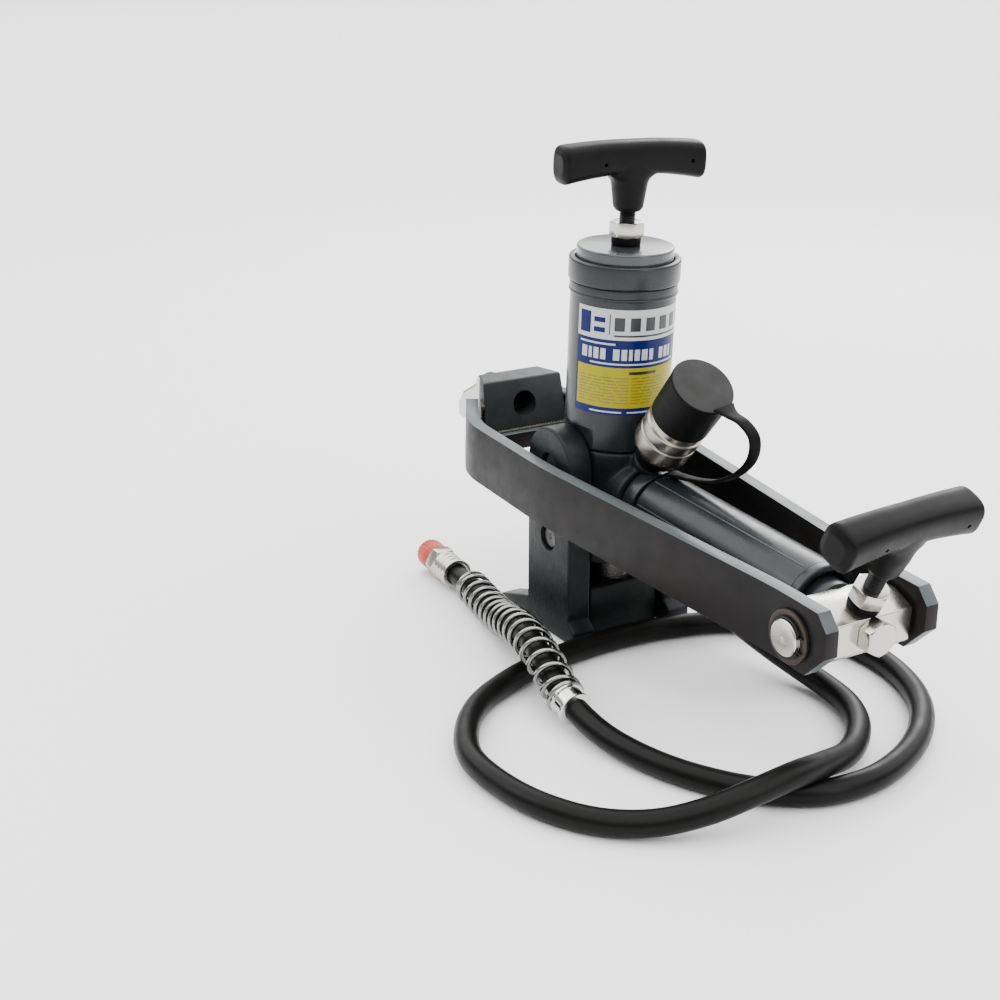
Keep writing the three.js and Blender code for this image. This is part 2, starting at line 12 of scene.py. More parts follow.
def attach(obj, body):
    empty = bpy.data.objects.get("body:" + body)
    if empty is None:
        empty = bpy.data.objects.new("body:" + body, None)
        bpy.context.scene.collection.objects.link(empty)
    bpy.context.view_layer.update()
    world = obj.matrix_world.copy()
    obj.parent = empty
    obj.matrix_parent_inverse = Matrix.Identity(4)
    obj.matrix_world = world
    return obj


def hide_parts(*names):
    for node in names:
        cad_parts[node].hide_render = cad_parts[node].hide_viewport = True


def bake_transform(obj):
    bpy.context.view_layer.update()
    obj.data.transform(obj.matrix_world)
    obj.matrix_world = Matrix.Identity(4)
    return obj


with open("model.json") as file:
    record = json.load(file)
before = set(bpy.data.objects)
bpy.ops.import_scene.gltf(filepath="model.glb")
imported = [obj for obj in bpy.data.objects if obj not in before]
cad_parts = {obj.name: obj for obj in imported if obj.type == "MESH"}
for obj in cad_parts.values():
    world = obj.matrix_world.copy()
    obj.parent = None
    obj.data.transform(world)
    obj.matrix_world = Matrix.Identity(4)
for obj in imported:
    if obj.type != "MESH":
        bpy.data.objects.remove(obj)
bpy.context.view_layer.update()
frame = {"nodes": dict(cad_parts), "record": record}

# ---- driving sizes, as in the CAD model

MM = 0.001
SIDES = (("near", -1), ("far", 1))  # word and sign of Y
GAP = 0.3
LEAN = math.radians(2.8)
BODY = {"r": 36, "half": 29.5, "bottom": 56, "shoulder": 134}
MAIN = {"r": 34, "bore": 27.5, "top": 241, "lid_r": 31, "lid_top": 263, "ring_r": 35.8, "ring_top": 256}
CLAMP = {"z": 102.5, "r": 24, "bore": 19.3, "start": 58, "end": 206.5, "ring_end": 213, "rod_r": 17.2}
NECK = {"r": 21, "boss_r": 26.5, "boss_end": 42.5}
LEG = {"inner": 30, "outer": 47.7, "half": 26, "pin_z": 119, "low_pin_z": 68.5, "toe_x": -64, "heel_x": 33}
LEG_PIN = {"r": 8, "from": 24.8, "to": 45.5}
REST_BAR = {"rear": 29, "front": 50, "half": 45, "low": 83, "high": 91.7}
FOOT = {"half": 22, "half_width": 27, "top": 35, "pin_r": 4, "pin_z": 22}
PLATE = {"thick": 9, "low": 84.3, "high": 123.7, "end": 260, "bend": 16}
PLATE_PLAN = [(260, 40.3), (215, 40.3), (5, 61), (-94, 61), (-138, 37)]
BLOCK = {"rear": 222.3, "front": 251.5, "half": 29, "low": 89.5, "high": 118, "ridge": 236.6, "lip": 112.1}
TRUNNION = {
    "x": 232.5, "z": 102, "r": 10.5, "end": 46.2, "groove_r": 9.6, "groove_low": 43.3, "groove_high": 44.5,
}
CLAW = {
    "low": 103.6, "high": 139.5, "bottom_x": -112, "top_x": -121, "tip_x": -174,
    "screw_z": 121, "screw_r": 9.1,
}
HANDLE = {"bar_half": 49.5, "stud_r": 5.3, "root_r": 4.7, "pitch": 1.5, "nut_flats": 19}
TOP_HANDLE = {"turn": -7, "neck": 21.5, "bar": 53.5}
END_HANDLE = {"turn": 3, "neck": 27, "bar": 60, "x": 242.6, "z": 115.6, "lean": 22}
COUPLER = {"x": 36.2, "z": 124, "lean": 36.6, "sleeve_low": 23.7, "cap_low": 56, "cap_top": 89.3}
HOSE_R = 7.5
HOSE_PORT = Vector((34, 10, 66))
HOSE_AIM = Vector((0.86, 0.3, -0.41)).normalized()
HOSE_ROUTE = [
    (69.4, 21.5, 47), (87, 27.8, 37.5), (107, 35.5, 26.6), (128, 43.5, 17), (150, 49.5, 10.5),
    (172, 51, 8), (194, 47, 7.9), (214, 37, 7.9), (232, 20, 8.6), (247, -2, 12),
    (259, -30, 19.5), (265, -55, 23.6), (265, -82, 21), (260, -108, 15), (249, -134, 9.8),
    (231, -157, 7.9), (205, -174, 7.9), (172, -183, 7.9), (138, -183, 7.9), (109, -170, 7.9),
    (85, -149, 7.9), (68, -121, 7.9), (57, -92, 7.9), (50, -60, 7.9), (47, -28, 7.9),
    (48, 4, 7.9), (54, 34, 7.9), (67, 63, 7.9), (90, 87, 7.9), (121, 103, 7.9),
    (155, 107, 7.9), (188, 100, 7.9), (218, 84, 7.9), (243, 59, 7.9), (261, 28, 7.9),
    (270, -6, 7.9), (266, -38, 7.9), (248, -64, 7.9), (222, -84, 7.9), (190, -98, 8.2),
    (155, -106, 10.5), (120, -107, 16.5), (90, -103, 25.5), (60, -97, 29.5), (30, -90, 25.5),
    (0, -82.5, 17.5), (-30, -75.5, 13.2), (-62, -70, 12.9), (-92, -68, 12.9),
]
STRAP_ROUTE = [
    (60.5, 2, 128.2), (70, 3, 129.4), (82, 5, 131), (99, 8, 135.5), (117, 10.5, 146.5), (128, 11, 161),
    (128, 10.5, 173), (120, 8.5, 180), (110, 6.5, 182.6), (103.5, 5.5, 185.4),
]
STRAP_ACROSS = np.array((0.1, 1, 0))
GUARD = {"r": 12.4, "wire": 1.6, "turns": 17.5, "start": 0.853, "end": 0.982}
COLLAR = {"r": 11, "length": 12, "gap": 1}


def spin(degrees, axis):
    return Matrix.Rotation(math.radians(degrees), 4, axis)


def shift(x, y, z):
    return Matrix.Translation((x, y, z))


def aimed(direction):
    """A turn that takes +Z to the direction."""
    return direction.to_track_quat("Z", "Y").to_matrix().to_4x4()


GROUND = Matrix.Identity(4)
TOOL = Matrix.Rotation(LEAN, 4, "Y")
CLAMP_AXIS = TOOL @ shift(0, 0, CLAMP["z"]) @ spin(90, "Y")
COUPLER_AXIS = TOOL @ shift(COUPLER["x"], 0, COUPLER["z"]) @ spin(COUPLER["lean"], "Y")
TOP_SEAT = TOOL @ shift(0, 0, MAIN["lid_top"]) @ spin(TOP_HANDLE["turn"], "Z")
END_SEAT = (TOOL @ shift(END_HANDLE["x"], 0, END_HANDLE["z"]) @ spin(END_HANDLE["lean"], "Y")
            @ spin(END_HANDLE["turn"], "Z"))
PORT_AXIS = TOOL @ shift(*HOSE_PORT) @ aimed(HOSE_AIM)


def along_y(frame_matrix, side, x=0, z=0):
    """A frame whose +Z points along side * Y, from a point of the frame's middle plane."""
    return frame_matrix @ shift(x, 0, z) @ spin(-90 if side > 0 else 90, "X")


# ---- camera, floor and lights

CAMERA = {"azimuth": 60, "elevation": 20, "lens": 55.15, "position": (0.80985, -0.55209, 0.4422)}
FLOOR_HALF = 40.0  # in metres, as are the places and sizes of the camera and lights
WORLD_STRENGTH = 0.5
LIGHTS = [  # name, position, aim, size and watts
    ("overhead", (-5.0, 5.0, 5.0), (-5.0, 5.0, 0), (22.0, 22.0), 5000),
    ("left_key", (-0.7, -1.5, 1.1), (0.05, 0, 0.12), (0.8, 0.8), 7),
    ("right_key", (1.5, 0.3, 0.7), (0.2, 0, 0.1), (0.5, 0.7), 6),
    ("back_rim", (-0.9, 1.2, 1.0), (0.05, 0, 0.15), (0.7, 0.7), 12),
]


def look(position, aim):
    back = (Vector(position) - Vector(aim)).normalized()
    return shift(*position) @ aimed(back)


def add_camera():
    azimuth, elevation = math.radians(CAMERA["azimuth"]), math.radians(CAMERA["elevation"])
    forward = Vector((-math.sin(azimuth) * math.cos(elevation), math.cos(azimuth) * math.cos(elevation),
                      -math.sin(elevation)))
    data = bpy.data.cameras.new("camera")
    data.lens = CAMERA["lens"]
    data.sensor_width = 36
    data.clip_start = 0.02
    camera = bpy.data.objects.new("camera", data)
    position = Vector(CAMERA["position"])
    camera.matrix_world = look(position, position + forward)
    bpy.context.scene.collection.objects.link(camera)
    bpy.context.scene.camera = camera


def add_light(name, position, aim, size, watts):
    data = bpy.data.lights.new(name, "AREA")
    data.shape = "RECTANGLE"
    data.size, data.size_y = size
    data.energy = watts
    light = bpy.data.objects.new(name, data)
    light.matrix_world = look(position, aim)
    bpy.context.scene.collection.objects.link(light)


def add_floor(material):
    mesh = bpy.data.meshes.new("floor")
    corners = [(x * FLOOR_HALF, y * FLOOR_HALF, 0) for x, y in ((-1, -1), (1, -1), (1, 1), (-1, 1))]
    mesh.from_pydata(corners, [], [(0, 1, 2, 3)])
    floor = bpy.data.objects.new("floor", mesh)
    floor.data.materials.append(material)
    bpy.context.scene.collection.objects.link(floor)


def add_world():
    world = bpy.data.worlds.new("studio")
    world.use_nodes = True
    background = world.node_tree.nodes["Background"]
    background.inputs["Color"].default_value = (1, 1, 1, 1)
    background.inputs["Strength"].default_value = WORLD_STRENGTH
    bpy.context.scene.world = world


# ---- materials

def node(tree, kind, **settings):
    made = tree.nodes.new(kind)
    for key, value in settings.items():
        setattr(made, key, value)
    return made


def noise_of(tree, coordinates, scale, detail=3.0, stretch=None):
    if stretch:
        mapping = node(tree, "ShaderNodeMapping")
        mapping.inputs["Scale"].default_value = stretch
        tree.links.new(coordinates, mapping.inputs["Vector"])
        coordinates = mapping.outputs["Vector"]
    noise = node(tree, "ShaderNodeTexNoise")
    noise.inputs["Scale"].default_value = scale
    noise.inputs["Detail"].default_value = detail
    tree.links.new(coordinates, noise.inputs["Vector"])
    return noise.outputs["Fac"]


def ranged(tree, value, low, high, to_low, to_high):
    limit = node(tree, "ShaderNodeMapRange")
    for key, number in (("From Min", low), ("From Max", high), ("To Min", to_low), ("To Max", to_high)):
        limit.inputs[key].default_value = number
    tree.links.new(value, limit.inputs["Value"])
    return limit.outputs["Result"]


def mixed(tree, factor, first, second):
    """A colour between two, each a tuple or a socket."""
    mix = node(tree, "ShaderNodeMix", data_type="RGBA")
    tree.links.new(factor, mix.inputs["Factor"])
    for key, colour in (("A", first), ("B", second)):
        socket = next(s for s in mix.inputs if s.name == key and s.type == "RGBA")
        if isinstance(colour, bpy.types.NodeSocket):
            tree.links.new(colour, socket)
        else:
            socket.default_value = (*colour, 1)
    return next(s for s in mix.outputs if s.type == "RGBA")


def multiplied(tree, first, second):
    product = node(tree, "ShaderNodeMath", operation="MULTIPLY")
    tree.links.new(first, product.inputs[0])
    tree.links.new(second, product.inputs[1])
    return product.outputs[0]


def surface(name, colour, metallic, roughness, *, tint=None, mottle=45, gloss_scale=90, grain=900, bump=0.12,
            depth=0.0002, wear=None, coat=0.0, stretch=None, specular=0.4):
    """A finish with broad colour mottle, uneven gloss, fine grain in its bump and, if asked, worn edges."""
    material = bpy.data.materials.new(name)
    material.use_nodes = True
    tree = material.node_tree
    shader = tree.nodes["Principled BSDF"]
    coordinates = node(tree, "ShaderNodeTexCoord").outputs["Object"]
    broad = ranged(tree, noise_of(tree, coordinates, mottle, 4), 0.3, 0.7, 0, 1)
    tint = tint or tuple(c * 0.8 for c in colour)
    shade = mixed(tree, broad, colour, tint)
    if wear:
        edge = ranged(tree, node(tree, "ShaderNodeNewGeometry").outputs["Pointiness"], wear[1], wear[2], 0, 1)
        patchy = ranged(tree, noise_of(tree, coordinates, 160, 5), 0.42, 0.62, 0, 1)
        shade = mixed(tree, multiplied(tree, edge, patchy), shade, wear[0])
    tree.links.new(shade, shader.inputs["Base Color"])
    shader.inputs["Metallic"].default_value = metallic
    low, high = roughness
    uneven = noise_of(tree, coordinates, gloss_scale, 4, stretch)
    tree.links.new(ranged(tree, uneven, 0.3, 0.7, low, high), shader.inputs["Roughness"])
    shader.inputs["Specular IOR Level"].default_value = specular
    shader.inputs["Coat Weight"].default_value = coat
    shader.inputs["Coat Roughness"].default_value = 0.22
    height = node(tree, "ShaderNodeBump")
    height.inputs["Strength"].default_value = bump
    height.inputs["Distance"].default_value = depth
    tree.links.new(noise_of(tree, coordinates, grain, 3, stretch), height.inputs["Height"])
    tree.links.new(height.outputs["Normal"], shader.inputs["Normal"])
    return material


MATERIALS = {
    "slate": surface(
        "slate_paint", (0.0125, 0.0158, 0.018), 0.15, (0.24, 0.36), tint=(0.0105, 0.0132, 0.015),
        mottle=30, grain=420, bump=0.22, coat=0.12, specular=0.3),
    "cast": surface(
        "cast_slate_paint", (0.009, 0.011, 0.0122), 0.15, (0.36, 0.5), tint=(0.007, 0.0085, 0.0095),
        mottle=50, grain=330, bump=0.5, depth=0.0004, specular=0.2),
    "lid": surface(
        "lid_paint", (0.036, 0.042, 0.047), 0.3, (0.14, 0.22), tint=(0.033, 0.038, 0.043),
        mottle=25, grain=700, bump=0.06, depth=0.0001, coat=0.5),
    "plate": surface(
        "charcoal_paint", (0.0072, 0.0069, 0.0071), 0.1, (0.36, 0.5), tint=(0.0095, 0.0072, 0.0068),
        mottle=12, grain=500, bump=0.2, specular=0.14),
    # Lighter paint: painted light on upward edge faces and a painted highlight on the clamp tube, with the
    # rough grain of a flame-cut edge.
    "cut_edge_and_highlight": surface(
        "flame_cut_and_painted_highlight", (0.07, 0.08, 0.086), 0.15, (0.34, 0.5),
        mottle=70, grain=260, bump=0.5, depth=0.0004, stretch=(0.25, 1, 1)),
    "dark": surface(
        "shadowed_paint", (0.008, 0.009, 0.01), 0.1, (0.4, 0.6), mottle=60, grain=500, bump=0.3),
    "zinc": surface(
        "zinc_plate", (0.52, 0.51, 0.465), 1.0, (0.2, 0.3), tint=(0.47, 0.465, 0.425),
        mottle=40, gloss_scale=110, grain=1300, bump=0.08, depth=0.0001),
    "claw": surface(
        "claw_paint", (0.024, 0.0265, 0.028), 0.2, (0.38, 0.55), tint=(0.018, 0.02, 0.021),
        mottle=60, grain=300, bump=0.5, depth=0.0004),
    "chrome": surface(
        "hard_chrome", (0.68, 0.68, 0.67), 1.0, (0.08, 0.16), tint=(0.62, 0.62, 0.61),
        grain=1600, bump=0.04, depth=0.0001),
    "ram": surface(
        "ram_steel", (0.12, 0.118, 0.115), 1.0, (0.24, 0.36), tint=(0.09, 0.088, 0.085),
        grain=1600, bump=0.06, depth=0.0001),
    "nickel": surface(
        "satin_nickel", (0.38, 0.35, 0.31), 1.0, (0.26, 0.38), tint=(0.33, 0.3, 0.265),
        mottle=60, grain=1500, bump=0.1, depth=0.0001, stretch=(1, 1, 6)),
    "spring": surface(
        "spring_steel", (0.3, 0.3, 0.29), 1.0, (0.16, 0.3), tint=(0.22, 0.22, 0.215),
        mottle=130, grain=1500, bump=0.08, depth=0.0001),
    "worn_pin": surface(
        "worn_pin_paint", (0.06, 0.06, 0.06), 0.5, (0.3, 0.5),
        mottle=120, grain=500, bump=0.4, wear=((0.25, 0.245, 0.23), 0.53, 0.6)),
    "handle": surface(
        "black_plastic", (0.0022, 0.0022, 0.0021), 0.0, (0.36, 0.48), tint=(0.003, 0.003, 0.0029),
        mottle=35, grain=1500, bump=0.3, specular=0.1),
    "oxide": surface("black_oxide", (0.02, 0.02, 0.02), 0.8, (0.35, 0.5), grain=1500, bump=0.1),
    "rubber": surface(
        "black_rubber", (0.0022, 0.0022, 0.0021), 0.0, (0.44, 0.6), tint=(0.003, 0.0029, 0.0028),
        mottle=40, grain=1300, bump=0.25, depth=0.00015, specular=0.08),
    "hose": surface(
        "hose_rubber", (0.003, 0.0029, 0.0027), 0.0, (0.3, 0.42), tint=(0.004, 0.0038, 0.0035),
        mottle=25, grain=1100, bump=0.2, depth=0.00015, specular=0.11),
    "cap_top": surface(
        "cap_top_rubber", (0.013, 0.013, 0.0126), 0.0, (0.5, 0.66),
        mottle=50, grain=1200, bump=0.3, depth=0.00015, specular=0.25),
    "orange": surface(
        "orange_plastic", (0.42, 0.034, 0.001), 0.0, (0.35, 0.5), tint=(0.37, 0.028, 0.001),
        grain=1200, bump=0.15),
    "bronze": surface(
        "oiled_washer", (0.05, 0.034, 0.028), 0.6, (0.3, 0.5), tint=(0.03, 0.024, 0.022),
        mottle=200, bump=0.3),
    "bead": surface(
        "weld_bead", (0.05, 0.049, 0.046), 0.5, (0.4, 0.6), tint=(0.08, 0.07, 0.06),
        mottle=300, grain=600, bump=0.5),
    "label_white": surface(
        "label_white", (0.42, 0.43, 0.44), 0.0, (0.25, 0.35), tint=(0.4, 0.41, 0.42),
        grain=2500, bump=0.05, coat=0.2),
    "label_blue": surface(
        "label_blue", (0.001, 0.006, 0.07), 0.0, (0.25, 0.35), tint=(0.0012, 0.007, 0.078),
        grain=2500, bump=0.05, specular=0.15),
    "label_yellow": surface(
        "label_yellow", (0.33, 0.285, 0.0005), 0.0, (0.25, 0.35), tint=(0.3, 0.26, 0.001),
        grain=2500, bump=0.05, specular=0.15),
    "label_ink": surface(
        "label_ink", (0.01, 0.01, 0.012), 0.0, (0.3, 0.4), grain=2500, bump=0.05, coat=0.2),
    "label_olive": surface(
        "label_olive", (0.15, 0.13, 0.004), 0.0, (0.3, 0.4), grain=2500, bump=0.05, coat=0.2),
    "floor": surface(
        "studio_floor", (0.9, 0.9, 0.9), 0.0, (0.6, 0.7), tint=(0.89, 0.89, 0.89),
        mottle=3, grain=200, bump=0.02),
}


# ---- mesh helpers (millimetres)

def mesh_object(name, vertices, faces):
    mesh = bpy.data.meshes.new(name)
    mesh.from_pydata([tuple(v) for v in vertices], [], faces)
    mesh.validate()
    made = bpy.data.objects.new(name, mesh)
    bpy.context.scene.collection.objects.link(made)
    return made


def outward(piece):
    """Turns the faces of a closed mesh outwards."""
    work = bmesh.new()
    work.from_mesh(piece.data)
    bmesh.ops.remove_doubles(work, verts=work.verts, dist=1e-5)
    bmesh.ops.recalc_face_normals(work, faces=work.faces)
    work.to_mesh(piece.data)
    work.free()
    return piece


def baked(piece):
    """Applies the piece's modifiers."""
    bpy.context.view_layer.update()
    evaluated = piece.evaluated_get(bpy.context.evaluated_depsgraph_get())
    old = piece.data
    piece.data = bpy.data.meshes.new_from_object(evaluated)
    piece.modifiers.clear()
    bpy.data.meshes.remove(old)
    return piece


def removed(piece):
    mesh = piece.data
    bpy.data.objects.remove(piece)
    bpy.data.meshes.remove(mesh)


def combined(piece, operation, *others):
    """Joins, cuts or intersects the piece with others, which are used up."""
    for other in others:
        modifier = piece.modifiers.new("boolean", "BOOLEAN")
        modifier.operation = operation
        modifier.solver = "EXACT"
        modifier.object = other
        baked(piece)
        removed(other)
    return piece


def bevelled(piece, width, segments=3, angle=32):
    modifier = piece.modifiers.new("bevel", "BEVEL")
    modifier.width = width
    modifier.segments = segments
    modifier.limit_method = "ANGLE"
    modifier.angle_limit = math.radians(angle)
    modifier.use_clamp_overlap = True
    return baked(piece)


def remeshed(piece, voxel, smoothing):
    """One continuous skin over overlapping solids, with the soft inner corners of a casting or a moulding."""
    modifier = piece.modifiers.new("remesh", "REMESH")
    modifier.mode = "VOXEL"
    modifier.voxel_size = voxel
    smooth = piece.modifiers.new("smooth", "SMOOTH")
    smooth.factor = 0.5
    smooth.iterations = smoothing
    return baked(piece)


def joined(first, *others):
    """One object with every solid of several, unmerged."""
    work = bmesh.new()
    for piece in (first, *others):
        work.from_mesh(piece.data)
    work.to_mesh(first.data)
    work.free()
    for other in others:
        removed(other)
    return first


def moved(piece, matrix):
    piece.data.transform(matrix)
    return piece


def rounded(outline, radius, closed=True, steps=3):
    """The outline with each corner turned into a small arc."""
    points = [Vector(p) for p in outline]
    count = len(points)
    result = []
    for i, corner in enumerate(points):
        if not closed and i in (0, count - 1):
            result.append(corner)
            continue
        before, after = points[i - 1], points[(i + 1) % count]
        a, b = before - corner, after - corner
        reach = min(radius, a.length * 0.45, b.length * 0.45)
        start, end = corner + a.normalized() * reach, corner + b.normalized() * reach
        for k in range(steps + 1):
            t = k / steps
            result.append(start * (1 - t) ** 2 + corner * 2 * t * (1 - t) + end * t * t)
    return [tuple(p) for p in result]


def turned(name, outline, sides=96, soften=0.6):
    """A body turned about Z from [radius, height] points. A ring's outline doesn't touch the axis."""
    on_axis = abs(outline[0][0]) < 1e-6
    points = rounded(outline, soften, closed=not on_axis) if soften else outline
    vertices = [(r * math.cos(2 * math.pi * k / sides), r * math.sin(2 * math.pi * k / sides), z)
                for r, z in points for k in range(sides)]
    rows = len(points)
    last = rows - 1 if on_axis else rows
    faces = [(i * sides + k, i * sides + (k + 1) % sides, (i + 1) % rows * sides + (k + 1) % sides,
              (i + 1) % rows * sides + k) for i in range(last) for k in range(sides)]
    return outward(mesh_object(name, vertices, faces))


def rod(name, radius, low, high, sides=64, soften=0.5):
    return turned(name, [(0, low), (radius, low), (radius, high), (0, high)], sides, soften)


def ring(name, outer, inner, low, high, sides=96, soften=0.4):
    return turned(name, [(inner, low), (outer, low), (outer, high), (inner, high)], sides, soften)


def prism(name, outline, low, high, plane="xy"):
    """An outline extruded along Z, or along Y from [x, z] points."""
    count = len(outline)
    if plane == "xy":
        vertices = [(x, y, h) for h in (low, high) for x, y in outline]
    else:
        vertices = [(x, h, z) for h in (low, high) for x, z in outline]
    faces = [tuple(range(count)), tuple(range(count, 2 * count))]
    faces += [(k, (k + 1) % count, count + (k + 1) % count, count + k) for k in range(count)]
    return outward(mesh_object(name, vertices, faces))


def hexagon_corners(across_flats):
    corner = across_flats / math.sqrt(3)
    return [(corner * math.cos(math.pi * k / 3), corner * math.sin(math.pi * k / 3)) for k in range(6)]


def hexagon(name, across_flats, low, high, both=True):
    """A hexagon whose corners are turned off at both ends or the top, as on a nut or a bolt's head."""
    corner = across_flats / math.sqrt(3)
    flat = across_flats / 2 - 0.3
    rise = (corner - flat) * 0.55
    lower = [(flat, low), (corner + 0.5, low + rise + 0.3)] if both else [(corner + 1, low)]
    upper = [(corner + 0.5, high - rise - 0.3), (flat, high)]
    cone = turned(name + "_cone", [(0, low), *lower, *upper, (0, high)], 96, 0)
    body = combined(prism(name, hexagon_corners(across_flats), low - 1, high + 1), "INTERSECT", cone)
    return bevelled(body, 0.25, 2, 25)


def arc(x, z, radius, start, end, steps):
    angles = [math.radians(start + (end - start) * i / steps) for i in range(steps + 1)]
    return [(x + radius * math.cos(a), z + radius * math.sin(a)) for a in angles]


def carried(points):
    """Frames along a line of points, turned as little as possible: tangents and two normals."""
    points = np.asarray(points, float)
    tangents = np.gradient(points, axis=0)
    tangents /= np.linalg.norm(tangents, axis=1)[:, None]
    side = np.cross(tangents[0], (0, 0, 1))
    if np.linalg.norm(side) < 0.1:
        side = np.cross(tangents[0], (1, 0, 0))
    sides = []
    for tangent in tangents:
        side = side - tangent * (side @ tangent)
        side /= np.linalg.norm(side)
        sides.append(side.copy())
    sides = np.array(sides)
    return points, tangents, sides, np.cross(sides, tangents)


def tube(name, points, radius, sides=24):
    """A closed tube along a line. The radius is one number, or one for each point."""
    points, _, across, up = carried(points)
    radii = np.broadcast_to(radius, len(points))
    angles = 2 * np.pi * np.arange(sides) / sides
    rings = [points[i] + radii[i] * (np.cos(angles)[:, None] * across[i] + np.sin(angles)[:, None] * up[i])
             for i in range(len(points))]
    return skinned(name, rings)


def skinned(name, rings):
    """A closed skin over rings of the same number of points."""
    sides, rows = len(rings[0]), len(rings)
    vertices = np.concatenate(rings)
    faces = [(i * sides + k, i * sides + (k + 1) % sides, (i + 1) * sides + (k + 1) % sides,
              (i + 1) * sides + k) for i in range(rows - 1) for k in range(sides)]
    faces += [tuple(range(sides)), tuple(range((rows - 1) * sides, rows * sides))]
    return outward(mesh_object(name, vertices, faces))


def centripetal(route, per_span=24):
    """A centripetal Catmull-Rom curve through the route's points."""
    points = [np.array(p, float) for p in route]
    points = [2 * points[0] - points[1], *points, 2 * points[-1] - points[-2]]
    line = []
    for p0, p1, p2, p3 in zip(points, points[1:], points[2:], points[3:]):
        d0, d1, d2 = (max(np.linalg.norm(b - a), 1e-6) ** 0.5 for a, b in ((p0, p1), (p1, p2), (p2, p3)))
        t1 = ((p1 - p0) / d0 - (p2 - p0) / (d0 + d1) + (p2 - p1) / d1) * d1
        t2 = ((p2 - p1) / d1 - (p3 - p1) / (d1 + d2) + (p3 - p2) / d2) * d1
        for k in range(per_span):
            t = k / per_span
            line.append(p1 + t1 * t + (-3 * p1 + 3 * p2 - 2 * t1 - t2) * t ** 2
                        + (2 * p1 - 2 * p2 + t1 + t2) * t ** 3)
    return np.array([*line, points[-2]])


def even(line, count, start=0.0, end=1.0):
    """Evenly spaced points between two fractions of a line's length."""
    steps = np.linalg.norm(np.diff(line, axis=0), axis=1)
    run = np.concatenate([[0], np.cumsum(steps)])
    wanted = np.linspace(start, end, count) * run[-1]
    return np.stack([np.interp(wanted, run, line[:, k]) for k in range(3)], axis=1)


def sampled(rows, index):
    """Rows read at fractional positions."""
    return np.stack([np.interp(index, np.arange(len(rows)), rows[:, k]) for k in range(3)], axis=1)


def line_length(line):
    return float(np.linalg.norm(np.diff(line, axis=0), axis=1).sum())


def placed(piece, where, body, slot, material, *nodes, sharp=38):
    """Puts a finished piece in place, in metres, for its CAD nodes. It rides on its body, if it has one."""
    piece.data.transform(Matrix.Scale(MM, 4) @ where)
    if not piece.data.materials:
        piece.data.materials.append(MATERIALS[material])
    piece.data.shade_smooth()
    piece.data.set_sharp_from_angle(angle=math.radians(sharp))
    if body:
        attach(piece, body)
    if nodes:
        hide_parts(*nodes)
    return piece


def second_material(piece, first, second, chosen):
    """Two finishes on one piece: the second where chosen says so of a face."""
    piece.data.materials.clear()
    piece.data.materials.append(MATERIALS[first])
    piece.data.materials.append(MATERIALS[second])
    for face in piece.data.polygons:
        face.material_index = 1 if chosen(face) else 0
    return piece


# ---- hose

def build_hose():
    line = centripetal(HOSE_ROUTE)
    hose = tube("hose", even(line, 620), HOSE_R, 28)
    placed(hose, GROUND, "root", "black_rubber", "hose", "hydraulic_hose")
    collar_end = GUARD["start"] - COLLAR["gap"] / line_length(line)
    collar_start = collar_end - COLLAR["length"] / line_length(line)
    on_hose = [build_guard(line), build_collar(even(line, 30, collar_start, collar_end))]
    on_hose += build_end_fitting()


def build_guard(line):
    """A wire helix on the hose, wound close for a turn at each end."""
    per_turn = 26
    count = int(GUARD["turns"] * per_turn)
    t = np.linspace(0, 1, count)
    closing = 0.045
    travel = np.clip((t - closing) / (1 - 2 * closing), 0, 1)
    travel = 0.94 * travel + 0.06 * t
    points, _, across, up = carried(even(line, 400, GUARD["start"], GUARD["end"]))
    index = travel * (len(points) - 1)
    phase = 2 * np.pi * GUARD["turns"] * t
    radius = GUARD["r"] - GUARD["wire"]
    centre, across, up = (sampled(rows, index) for rows in (points, across, up))
    wire = centre + radius * (np.cos(phase)[:, None] * across + np.sin(phase)[:, None] * up)
    guard = tube("hose_guard_spring", wire, GUARD["wire"], 10)
    return placed(guard, GROUND, "root", "spring_steel", "spring", "hose_spring_guard")


def build_collar(points):
    run = np.linspace(0, 1, len(points))
    radii = np.where((run < 0.16) | (run > 0.84), COLLAR["r"], COLLAR["r"] - 1.3)
    radii[[0, -1]] = COLLAR["r"] - 0.8
    collar = tube("hose_collar", points, radii, 48)
    return placed(collar, GROUND, "root", "hard_chrome", "chrome", "hose_guard_collar")


def crimped(name, outer, inner, low, high, grooves):
    """A ferrule with pressed grooves round it."""
    outline = [(inner, low), (outer, low)]
    step = (high - low) / (grooves + 1)
    for k in range(1, grooves + 1):
        z = low + step * k
        outline += [(outer, z - 1.1), (outer - 0.7, z - 0.6), (outer - 0.7, z + 0.6), (outer, z + 1.1)]
    return turned(name, outline + [(outer, high), (inner, high)], 64, 0.3)


def build_end_fitting():
    end, before = (Vector(p) for p in (HOSE_ROUTE[-1], HOSE_ROUTE[-2]))
    where = shift(*end) @ aimed(end - before)
    ferrule = crimped("hose_ferrule", 11, HOSE_R + GAP, -2, 18, 3)
    placed(ferrule, where, "root", "zinc_plate", "zinc", "hose_end_ferrule")
    fitting = joined(rod("hose_fitting", 7, 1, 20), hexagon("fitting_hex", 21, 18.5, 29),
                     rod("fitting_nose", 7.5, 28, 44))
    placed(fitting, where, "root", "zinc_plate", "zinc", "hose_end_fitting")
    sides, flutes = 96, 24
    rings = []
    for z, radius in ((29.4, 10.1), (29.9, 10.5), (47.0, 10.5), (48.0, 9.6)):
        angles = 2 * np.pi * np.arange(sides) / sides
        wave = radius - 0.25 + 0.25 * np.cos(flutes * angles)
        rings.append(np.stack([wave * np.cos(angles), wave * np.sin(angles), np.full(sides, z)], axis=1))
    cap = skinned("hose_cap", rings)
    placed(cap, where, "root", "orange_plastic", "orange", "hose_end_cap", sharp=50)
    return [ferrule, fitting, cap]


